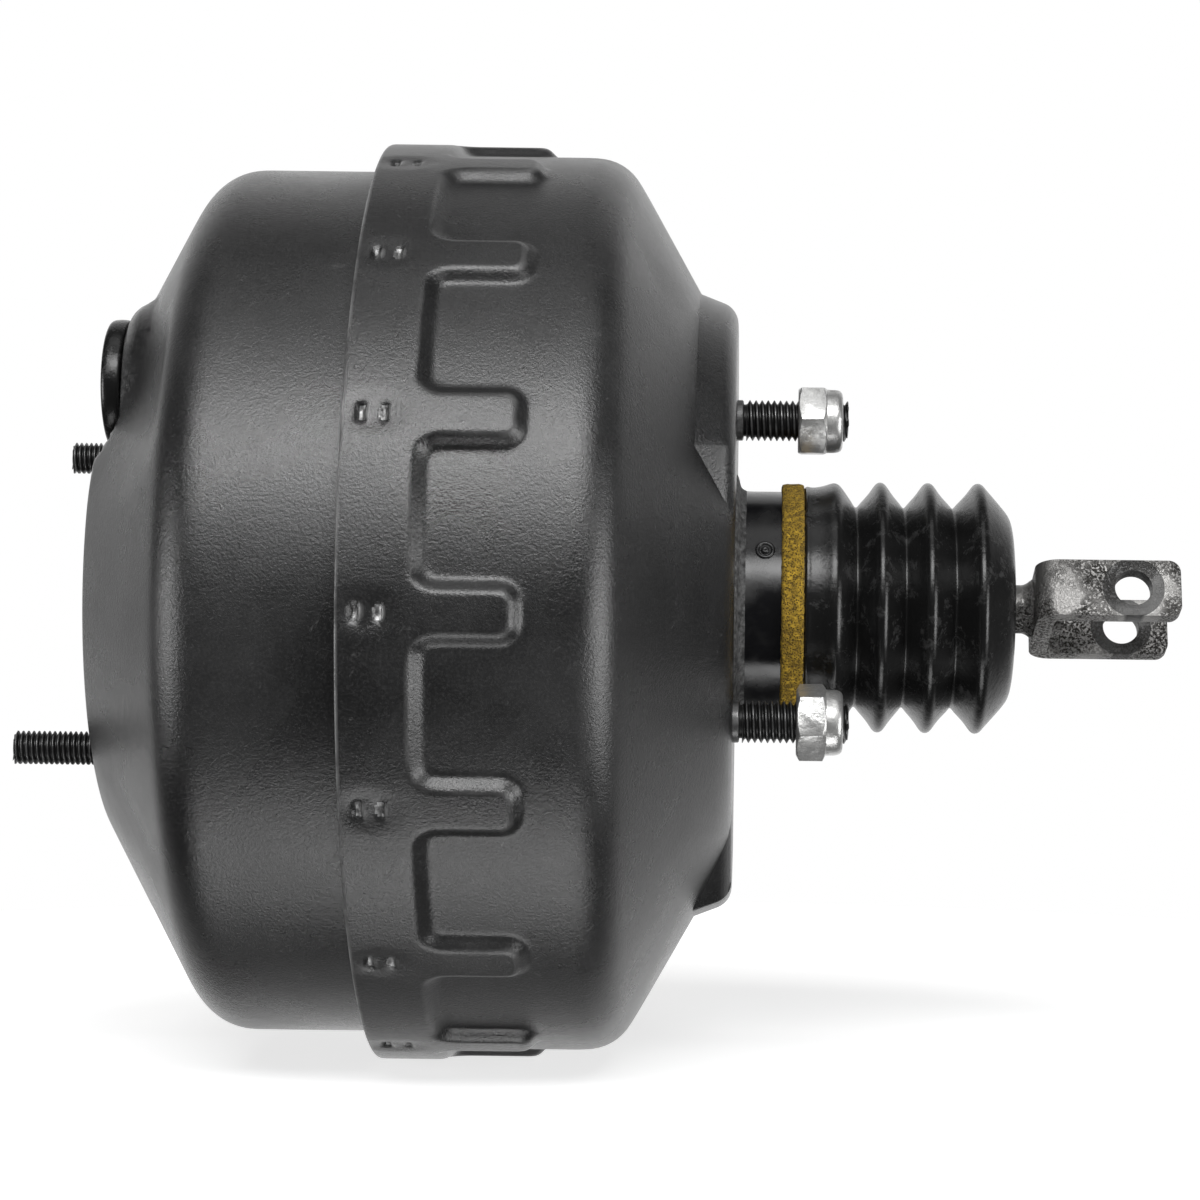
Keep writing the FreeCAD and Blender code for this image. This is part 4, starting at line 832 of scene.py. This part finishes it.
class BOOSTER_OT_rear_shell(bpy.types.Operator):
    """Models the rear shell: band, fingers, lances, shoulder, stud pad and neck"""

    bl_idname = "booster.rear_shell"
    bl_label = "Rear Shell"

    def execute(self, context):
        s = shape()
        pressing = rear_pressing(s)
        pad = stud_pad(s)
        dress(pressing, coat(), bare(), gloss())
        dress(pad, coat(rubbed=False))
        turn = 2 * math.pi / s.fingers
        first = s.seam + 3.9 * MM
        last = s.seam + 10.7 * MM

        def torn(co):
            radius = math.hypot(co.y, co.z)
            off = (math.atan2(-co.y, co.z) - s.finger_turn + turn / 2) % turn - turn / 2
            return first < co.x < last and radius < s.band_radius - 0.62 * MM and abs(off) < math.radians(0.8)

        dress_faces(pressing, 1, torn)
        dress_faces(pressing, 2, lambda co: co.x > 0.4 * MM)
        fittings = joined("Stud_pad_and_neck_foot", pad, neck_foot(s), *neck_pip(s))
        for obj in (pressing, fittings):
            smooth(obj, 50)
            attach(obj, "housing")
            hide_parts("rear_shell")
        return {"FINISHED"}


# Front shell


# The front face's radii and the drum's rows, in mm
FRONT_RINGS = (25.5, 29, 34, 39, 44, 49, 54)
FRONT_ROWS = (-113, -106, -99, -92, -86, -82)
# The dent beside the vacuum boss: its middle from the boss, its half sizes and its depth
DENT_SIDE, DENT_DROP = 30 * MM, 6 * MM
DENT_WIDTH, DENT_HEIGHT = 26 * MM, 23 * MM
DENT_DEPTH = 2 * MM


def bent(before, corner, after, radius, steps):
    """Points of the arc that rounds one corner of a section."""
    before, corner, after = Vector(before), Vector(corner), Vector(after)
    one, two = (before - corner).normalized(), (after - corner).normalized()
    half = one.angle(two) / 2
    middle = corner + (one + two).normalized() * (radius / math.sin(half))
    back = radius / math.tan(half)
    start, end = (corner + one * back - middle).normalized(), (corner + two * back - middle).normalized()
    return [tuple(middle + start.slerp(end, step / steps) * radius) for step in range(steps + 1)]


def front_section(s):
    """The front shell's outside, from the bore over face, cone and drum to the flange."""
    face, shoulder = (s.front, s.front_face), (s.front_shoulder, s.front_radius)
    edge = bent((s.front, 0), face, shoulder, 3 * MM, 3)
    turn = bent(face, shoulder, (0, s.front_radius), s.front_bend, 6)
    start, end = Vector(edge[-1]), Vector(turn[0])
    cone = [tuple(start.lerp(end, step / 12)) for step in range(1, 12)]
    section = [(s.front, s.bore)] + offsets(s.front, 0, *((0, radius) for radius in FRONT_RINGS))
    section += edge + cone + turn + offsets(0, s.front_radius, *run(FRONT_ROWS))
    section += offsets(s.flange, s.front_radius, (-1.5, 0), (-0.4, 0.5), (0, 1.6))
    return section + offsets(s.flange, s.flange_radius, (0, -1.2), (0, -0.1))


def soft_min(one, two, blend):
    share = min(max(0.5 + 0.5 * (two - one) / blend, 0.0), 1.0)
    return two + (one - two) * share - blend * share * (1 - share)


def boss_place(s, co):
    """Where the front shell's outside lies once the vacuum boss and the dent beside it are drawn in."""
    beside = math.hypot(
        (co.y - s.boss_side + DENT_SIDE) / DENT_WIDTH, (co.z - s.boss_height + DENT_DROP) / DENT_HEIGHT
    )
    inside = eased((s.front_radius - 5 * MM - math.hypot(co.y, co.z)) / (7 * MM))
    cone = co.x + DENT_DEPTH * eased(1.15 - beside) * inside
    reach = math.hypot(co.y - s.boss_side, co.z - s.boss_height)
    over = min(max(reach - s.boss_radius + s.boss_bend, 0.0), s.boss_bend * 0.97)
    wall = s.boss_face + s.boss_bend - math.sqrt(s.boss_bend ** 2 - over ** 2)
    wall += 4 * max(reach - s.boss_radius, 0.0)
    raised = soft_min(cone, wall, 4 * MM)
    seat = s.boss_face - 2.2 * max(reach - s.boss_seat, 0.0)
    return -soft_min(-raised, -seat, 1.5 * MM)


def draw_boss(obj, s):
    """Draws the vacuum boss out of the cone and sinks its inner side in the face."""
    reach = 20 * MM

    def weights(co):
        if co.z > 0 and co.y < 0 and co.x < s.front_shoulder + 4 * MM:
            step = boss_place(s, co) - co.x
            yield int(step >= 0), abs(step) / reach

    pushed(obj, weights, (("X", -reach), ("X", reach)))


class BOOSTER_OT_front_shell(bpy.types.Operator):
    """Models the front shell with its vacuum boss and flange"""

    bl_idname = "booster.front_shell"
    bl_label = "Front Shell"

    def execute(self, context):
        s = shape()
        shell = turned("Front_shell_pressing", front_section(s), 160)
        draw_boss(shell, s)
        modifier(shell, "SOLIDIFY", thickness=s.front_wall, offset=-1)
        bored(shell, s.port_radius, (s.boss_face, s.boss_side, s.boss_height))
        dress(shell, coat())
        smooth(shell, 30)
        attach(shell, "housing")
        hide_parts("front_shell")
        return {"FINISHED"}


# Studs and nuts

# Steps of one turn of a thread, and each nut's own turn in degrees
THREAD_STEPS = 28
NUT_TURNS = (0, 18, 0)


def threaded(name, start, end, major, pitch):
    """A helical thread between two places on the axis, cut square at both ends."""
    root = major - 0.61 * pitch
    profile = ((0.0, root), (0.1, root), (0.44, major), (0.56, major), (0.9, root), (1.0, root))
    obj = outline(name, [(start - pitch + share * pitch, radius) for share, radius in profile])
    modifier(
        obj, "SCREW", axis="X", angle=2 * math.pi, screw_offset=pitch,
        iterations=math.ceil((end - start) / pitch) + 3, steps=THREAD_STEPS, render_steps=THREAD_STEPS,
        use_merge_vertices=True, merge_threshold=1e-6,
    )
    finish_mesh(obj)
    cut(obj, (start, 0, 0), (-1, 0, 0))
    cut(obj, (end, 0, 0), (1, 0, 0))
    return obj


def stud(name, root, tip, major, pitch, collar):
    """A threaded stud about the axis, with a smooth collar and a groove at its root."""
    sense = 1 if tip > root else -1
    neck = root + sense * collar
    groove = neck + sense * 0.8 * MM
    thread = threaded(name, min(groove, tip), max(groove, tip), major, pitch)
    pick(thread, lambda co: abs(co.x - tip) < 0.02 * MM)
    widen(0.72, (tip, 0, 0))
    mode("OBJECT")
    under = major - 0.7 * pitch
    section = [(root - sense * 3 * MM, major)] + offsets(neck, major, (-0.25 * sense, 0), (0, -0.25))
    section += offsets(neck, under, (0.1 * sense, 0)) + offsets(groove, under, (0.3 * sense, 0))
    base = lathe(name + " base", section, 48)
    capped(base)
    return joined(name, thread, base)


class BOOSTER_OT_studs(bpy.types.Operator):
    """Models the threaded firewall studs and master cylinder studs"""

    bl_idname = "booster.studs"
    bl_label = "Studs"

    def execute(self, context):
        s = shape()
        rear = stud("Rear_stud", -3 * MM, s.rear_tip, 5 * MM, 1.5 * MM, 4.5 * MM)
        front = stud("Front_stud", s.front + 3 * MM, s.front_tip, 4 * MM, 1.25 * MM, 3.6 * MM)
        sets = (
            (rear, "firewall_studs", s.rear_pitch, [s.rear_turn + k * 2 * math.pi / 3 for k in range(3)]),
            (front, "master_cylinder_studs", s.front_pitch, [s.front_turn, s.front_turn + math.pi]),
        )
        for model, node, radius, turns in sets:
            copies = [placed_round(model, radius, turn) for turn in turns]
            bpy.data.objects.remove(model)
            whole = joined(node.title(), *copies)
            dress(whole, oxide())
            smooth(whole, 40)
            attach(whole, "housing")
            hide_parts(node)
        return {"FINISHED"}


def nut_model(s):
    """One locking nut about the axis: a hexagon with rounded corners, a collar and an open end."""
    start, hexagon, end = s.nut_start, s.nut_start + s.nut_hex, s.nut_start + s.nut_length
    flat = s.nut_flats / 2
    far = flat / math.cos(math.pi / 6)
    leave()
    bpy.ops.mesh.primitive_cylinder_add(
        vertices=6, radius=far, depth=s.nut_hex, location=((start + hexagon) / 2, 0, 0), rotation=ALONG_X,
    )
    obj = bpy.context.object
    settle(obj)
    section = offsets(start, 0, (-0.01, 0.4)) + offsets(start, flat, (-0.01, -0.3))
    section += offsets(start, far, (0.9, 0.2)) + offsets(hexagon, far, (-0.9, 0.2))
    section += offsets(hexagon, flat, (0.01, -0.2)) + offsets(hexagon, 0, (0.01, 0.4))
    barrel = lathe("Nut barrel", section, 72)
    capped(barrel)
    modifier(obj, "BOOLEAN", operation="INTERSECT", object=barrel, solver="EXACT")
    bpy.data.objects.remove(barrel)
    modifier(obj, "BEVEL", width=0.25 * MM, segments=2, limit_method="ANGLE", angle_limit=math.radians(30))
    neck = 7.8 * MM
    section = offsets(hexagon, neck, (-1, 0))
    section += offsets(end, neck, (-1.7, 0), (-0.8, -0.25), (-0.15, -0.9), (0, -1.8))
    section += offsets(end, 0, (-0.2, 5.6), (-0.6, 5.3), (-3, 5.2))
    collar = lathe("Nut collar", section, 64)
    subdivided(collar)
    whole = joined("Nut", obj, collar)
    finish_mesh(whole)
    return whole


class BOOSTER_OT_nuts(bpy.types.Operator):
    """Models the three locking nuts on the firewall studs"""

    bl_idname = "booster.nuts"
    bl_label = "Nuts"

    def execute(self, context):
        s = shape()
        model = nut_model(s)
        copies = [
            placed_round(model, s.rear_pitch, s.rear_turn + step * 2 * math.pi / 3, math.radians(own))
            for step, own in enumerate(NUT_TURNS)
        ]
        bpy.data.objects.remove(model)
        whole = joined("Locking_nuts", *copies)
        dress(whole, zinc())
        smooth(whole, 35)
        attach(whole, "housing")
        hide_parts("firewall_nuts")
        return {"FINISHED"}


# Soft pieces


class BOOSTER_OT_foam_ring(bpy.types.Operator):
    """Models the foam ring on the neck, with soft uneven edges"""

    bl_idname = "booster.foam_ring"
    bl_label = "Foam Ring"

    def execute(self, context):
        s = shape()
        start, end, out = s.foam_start, s.foam_end, s.foam_radius
        inner = s.neck_radius + 0.1 * MM
        section = [(start, inner)] + offsets(start, out, (0, -0.8), (0.15, -0.2), (0.8, 0))
        section += offsets(end, out, (-0.8, 0), (-0.15, -0.2), (0, -0.8)) + [(end, inner)]
        obj = lathe("Foam_ring", section, 180)
        subdivided(obj)
        texture = bpy.data.textures.new("Foam grain", "CLOUDS")
        texture.noise_scale = 0.0012
        modifier(obj, "DISPLACE", texture=texture, strength=0.5 * MM, mid_level=0.5, texture_coords="LOCAL")
        finish_mesh(obj)
        dress(obj, foam())
        smooth(obj, 60)
        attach(obj, "housing")
        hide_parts("foam_ring")
        return {"FINISHED"}


# The boot's mouth and small end as places and radii, and its folds as places of valley and crest, in mm
BOOT_MOUTH = (
    (16.8, 28.6), (16.8, 29.4), (17.3, 29.8), (18.0, 29.7), (18.6, 29.5), (20.5, 29.7), (22.4, 30.2),
    (23.6, 30.7), (24.7, 30.7), (25.7, 30.0), (27.0, 28.2),
)
BOOT_FOLDS = ((29.5, 35.4), (41.3, 47.2), (53.4, 59.6))
BOOT_END = (
    (62.8, 28.3), (65.0, 25.8), (66.6, 23.9), (67.5, 22.5), (68.0, 20.6), (68.2, 18.0), (68.3, 15.0),
    (68.3, 13.6), (68.2, 12.6), (67.4, 12.35),
)


def bellows_section(s):
    """The boot's outside from its mouth over its folds to the small end."""
    peak, valley = s.boot_peak, s.boot_valley
    middle = (peak + valley) / 2
    section = offsets(0, 0, *BOOT_MOUTH)
    for low, high in BOOT_FOLDS:
        section += offsets(low * MM, valley, (-0.75, 0.9), (-0.25, 0), (0.35, 0), (0.9, 0.9))
        section += offsets((low + high) / 2 * MM, middle, (0, -0.1))
        section += offsets(high * MM, peak, (-1.8, -1.5), (-0.9, -0.2), (0.1, 0.1), (1.1, -0.2), (2.0, -1.4))
        section += offsets(high * MM, middle, (3.2, -0.1))
    # The last fold runs straight on into the small end
    return section[:-1] + offsets(0, 0, *BOOT_END)


class BOOSTER_OT_boot(bpy.types.Operator):
    """Models the bellows of the dust boot"""

    bl_idname = "booster.boot"
    bl_label = "Dust Boot"

    def execute(self, context):
        s = shape()
        boot = turned("Bellows", bellows_section(s), 160)
        modifier(boot, "SOLIDIFY", thickness=0.8 * MM, offset=-1)
        dress(boot, rubber())
        smooth(boot, 60)
        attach(boot, "housing")
        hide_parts("dust_boot")
        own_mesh(boot)
        return {"FINISHED"}


# The grommet's section, as places behind its outer face and radii in mm
GROMMET = (
    (8.6, 8.5), (4.0, 8.5), (0.7, 8.5), (0.15, 8.8), (0.0, 9.5), (0.0, 12.0), (0.0, 14.3), (0.25, 15.0),
    (0.9, 15.4), (2.6, 15.5), (3.9, 15.4), (4.5, 15.1), (4.6, 14.0), (4.6, 12.6), (6.5, 12.6), (8.6, 12.2),
)


class BOOSTER_OT_grommet(bpy.types.Operator):
    """Models the rubber grommet of the vacuum port"""

    bl_idname = "booster.grommet"
    bl_label = "Grommet"

    def execute(self, context):
        s = shape()
        section = offsets(s.boss_face - 4.5 * MM, 0, *GROMMET)
        obj = turned("Grommet", section, 96, s.boss_side, s.boss_height)
        dress(obj, rubber())
        smooth(obj, 60)
        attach(obj, "housing")
        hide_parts("vacuum_grommet")
        return {"FINISHED"}


# Rod and fork


class BOOSTER_OT_fork(bpy.types.Operator):
    """Softens the fork's edges, marks where a washer sat and models the rod's shoulder"""

    bl_idname = "booster.fork"
    bl_label = "Fork"

    def execute(self, context):
        s = shape()
        obj = cad_copy("clevis", "Fork")
        edit_all(obj)
        bpy.ops.mesh.dissolve_limited(angle_limit=math.radians(0.4))
        mode("OBJECT")
        modifier(obj, "BEVEL", width=0.45 * MM, segments=3, limit_method="ANGLE", angle_limit=math.radians(35))
        dress(obj, fork_steel(marked=True))
        smooth(obj, 35)
        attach(obj, "fork")
        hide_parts("clevis")
        section = offsets(
            s.fork_start, 0, (-3.6, 5.85), (-2.0, 6.05), (-1.0, 6.7), (-0.5, 7.2), (-0.25, 7.25), (-0.2, 6.9),
            (-0.2, 5.4),
        )
        flare = turned("Rod_shoulder", section, 72)
        dress(flare, fork_steel())
        smooth(flare, 40)
        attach(flare, "pedal_rod")
        return {"FINISHED"}


# Carried-over pieces


# Strokes of the joints that close the springs
POWER_STROKE, VALVE_TRAVEL = 32 * MM, 1.2 * MM


def spring_steel():
    return plain("Spring steel", (0.3, 0.3, 0.31, 1), 0.9, 0.3)


class BOOSTER_OT_springs(bpy.types.Operator):
    """Carries the coil springs over and hangs each on its body"""

    bl_idname = "booster.springs"
    bl_label = "Springs"

    def execute(self, context):
        for node, body, joint, stroke in (
            ("return_spring", "housing", "power_stroke", POWER_STROKE),
            ("rod_return_spring", "power_piston", "valve_travel", VALVE_TRAVEL),
            ("poppet_spring", "power_piston", "valve_travel", VALVE_TRAVEL),
        ):
            low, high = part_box(node)
            obj = cad_copy(node, f"Coil_of_{node}")
            dress(obj, spring_steel())
            smooth(obj, 35)
            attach(obj, body)
            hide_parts(node)
            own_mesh(obj)
        return {"FINISHED"}


class BOOSTER_OT_inner_pieces(bpy.types.Operator):
    """Gives every piece that is kept from the frame its material"""

    bl_idname = "booster.inner_pieces"
    bl_label = "Inner Pieces"

    def execute(self, context):
        steel = plain("Dark steel", grey(0.08), 0.7, 0.45)
        bright = plain("Pressed steel", grey(0.4), 0.8, 0.35)
        phenolic = plain("Phenolic", (0.16, 0.1, 0.06, 1), 0.0, 0.5)
        nylon = plain("Nylon", tuple(colours().nylon), 0.0, 0.45)
        felt = plain("Filter felt", (0.35, 0.33, 0.28, 1), 0.0, 0.95, 900, 0.8)
        black = plain("Inner rubber", grey(0.012), 0.0, 0.55)
        dressed = set()
        for material, nodes in (
            (steel, "rear_stiffener_plate front_stiffener_plate output_rod_tip"),
            (bright, "seal_retainer centre_plate stop_key front_diaphragm_plate rear_diaphragm_plate"),
            (bright, "front_plate_retainer rear_plate_retainer output_rod output_rod_retainer"),
            (bright, "poppet_retainer rod_spring_seat valve_plunger"),
            (phenolic, "valve_body"),
            (nylon, "nut_inserts rear_guide"),
            (felt, "air_filter filter_silencer"),
            (black, "rear_seal centre_seal front_diaphragm rear_diaphragm reaction_disc poppet_valve"),
            (rubber(), "vacuum_grommet boot_collar dust_boot"),
            (spring_steel(), "return_spring poppet_spring rod_return_spring"),
            (coat(), "rear_shell front_shell"),
            (oxide(), "firewall_studs master_cylinder_studs"),
            (zinc(), "firewall_nuts"),
            (foam(), "foam_ring"),
            (fork_steel(), "input_rod clevis"),
        ):
            for node in nodes.split():
                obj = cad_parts[node]
                dress(obj, material)
                dressed.add(node)
                if not obj.hide_render:
                    smooth(obj, 35)
        missing = sorted(set(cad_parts) - dressed)
        if missing:
            raise RuntimeError(f"no material for {missing}")
        return {"FINISHED"}


# Stage


# How the floor's own light rises with the distance from the middle: from 0.16 to 0.3 m, 0.72 to 1
WHITENING = (0.16, 0.3, 0.72, 1.0)


def floor_look():
    """White floor that shows the object's shadow near it and fades into the white behind."""
    look = Look("White floor")
    path = look.node("ShaderNodeLightPath")
    seen = look.maths("MAXIMUM", path.outputs["Is Camera Ray"], path.outputs["Is Glossy Ray"])
    seen = look.maths("MAXIMUM", seen, path.outputs["Is Transmission Ray"])
    reach = look.node("ShaderNodeVectorMath", {0: look.place}, operation="LENGTH")
    strength = look.times(seen, look.span(reach.outputs["Value"], *WHITENING))
    glow = look.node("ShaderNodeEmission", {"Color": colours().backdrop, "Strength": strength})
    chalk = look.node("ShaderNodeBsdfDiffuse", {"Color": grey(0.8)})
    both = look.node("ShaderNodeAddShader", {0: chalk.outputs[0], 1: glow.outputs[0]})
    look.feed(look.tree.nodes["Material Output"].inputs["Surface"], both.outputs[0])
    look.tree.nodes.remove(look.shader)
    return look.material


# Lamps: name, place, height, power in watts, and width as a multiple of the height
LAMPS = (
    ("Key", (-0.05, -0.9, 0.7), 0.4, 11, 2.6),
    ("Low fill", (-0.05, -0.44, -0.97), 0.36, 3.6, 2.4),
    ("Top", (-0.05, -0.27, 1.0), 0.4, 1.1, 2.4),
    ("Rear", (0.75, -0.45, -0.1), 0.5, 4.0, 1.0),
    ("Front", (-0.85, -0.4, -0.05), 0.36, 2.4, 1.0),
)
MIDDLE = (-0.03, 0, 0)
FLOOR_RADIUS = 0.42
# Camera: its place, focal length, picture shift and roll
EYE = (5.3 * MM, -0.78, 0)
LENS, SENSOR = 94.3, 36
SHIFT_X, SHIFT_Y = -0.1305, 0.005
ROLL = math.radians(0.72)


def lamp(name, place, size, power, wide):
    data = bpy.data.lights.new(name, "AREA")
    data.shape = "RECTANGLE"
    data.size = size * wide
    data.size_y = size
    data.energy = power
    obj = bpy.data.objects.new(name, data)
    bpy.context.scene.collection.objects.link(obj)
    obj.location = place
    obj.rotation_euler = (Vector(MIDDLE) - Vector(place)).to_track_quat("-Z", "Y").to_euler()


def surroundings():
    """White to the camera; in reflections white only behind the part, where the backdrop stands."""
    world = bpy.data.worlds.new("White surroundings")
    world.use_nodes = True
    sky = Tree(world.node_tree)
    back = sky.tree.nodes["Background"]
    path = sky.node("ShaderNodeLightPath")
    split = sky.node("ShaderNodeSeparateXYZ", {0: sky.node("ShaderNodeTexCoord").outputs["Generated"]})
    mirrored = sky.times(path.outputs["Is Glossy Ray"], sky.span(split.outputs["Y"], 0.35, 0.9))
    seen = sky.maths("MAXIMUM", path.outputs["Is Camera Ray"], path.outputs["Is Transmission Ray"])
    strength = sky.span(sky.maths("MAXIMUM", seen, mirrored), 0.0, 1.0, 0.05, 1.0)
    sky.feed(back.inputs["Strength"], strength)
    sky.feed(back.inputs["Color"], colours().backdrop)
    return world


class BOOSTER_OT_stage(bpy.types.Operator):
    """Sets the pale floor, the white surroundings, the lamps and the camera"""

    bl_idname = "booster.stage"
    bl_label = "Stage"

    def execute(self, context):
        scene = context.scene
        scene.view_settings.view_transform = "Standard"
        scene.world = surroundings()
        bpy.ops.mesh.primitive_circle_add(
            vertices=96, radius=FLOOR_RADIUS, fill_type="NGON", location=(MIDDLE[0], 0, CAD_BOX[0][2] - 1 * MM)
        )
        floor = context.object
        floor.name = "Floor"
        dress(floor, floor_look())
        floor.visible_shadow = False
        floor.visible_glossy = False
        floor.visible_diffuse = False

        for item in LAMPS:
            lamp(*item)

        camera = bpy.data.cameras.new("Camera")
        eye = bpy.data.objects.new("Camera", camera)
        scene.collection.objects.link(eye)
        camera.sensor_width = SENSOR
        camera.lens = LENS
        camera.shift_x, camera.shift_y = SHIFT_X, SHIFT_Y
        eye.location = EYE
        eye.rotation_mode = "QUATERNION"
        straight = Vector((0, 1, 0)).to_track_quat("-Z", "Y")
        eye.rotation_quaternion = straight @ Quaternion((0, 0, 1), ROLL)
        scene.camera = eye
        return {"FINISHED"}


# The steps in the order in which they run
STEPS = (
    BOOSTER_OT_rear_shell,
    BOOSTER_OT_front_shell,
    BOOSTER_OT_studs,
    BOOSTER_OT_nuts,
    BOOSTER_OT_foam_ring,
    BOOSTER_OT_boot,
    BOOSTER_OT_grommet,
    BOOSTER_OT_fork,
    BOOSTER_OT_springs,
    BOOSTER_OT_inner_pieces,
    BOOSTER_OT_stage,
)


class BOOSTER_PT_tools(bpy.types.Panel):
    """Lists the steps that build the booster"""

    bl_idname = "BOOSTER_PT_tools"
    bl_label = "Brake Booster"
    bl_space_type = "VIEW_3D"
    bl_region_type = "UI"
    bl_category = "Booster"

    def draw(self, context):
        for step in STEPS:
            self.layout.operator(step.bl_idname)


CLASSES = (BoosterShape, BoosterColours, *STEPS, BOOSTER_PT_tools)


def register():
    for item in CLASSES:
        bpy.utils.register_class(item)
    bpy.types.Scene.booster_shape = PointerProperty(type=BoosterShape)
    bpy.types.Scene.booster_colours = PointerProperty(type=BoosterColours)


def unregister():
    del bpy.types.Scene.booster_shape
    del bpy.types.Scene.booster_colours
    for item in reversed(CLASSES):
        bpy.utils.unregister_class(item)


def main():
    register()
    for step in STEPS:
        leave()
        getattr(bpy.ops.booster, step.bl_idname.removeprefix("booster."))()
    leave()


if __name__ == "__main__":
    main()
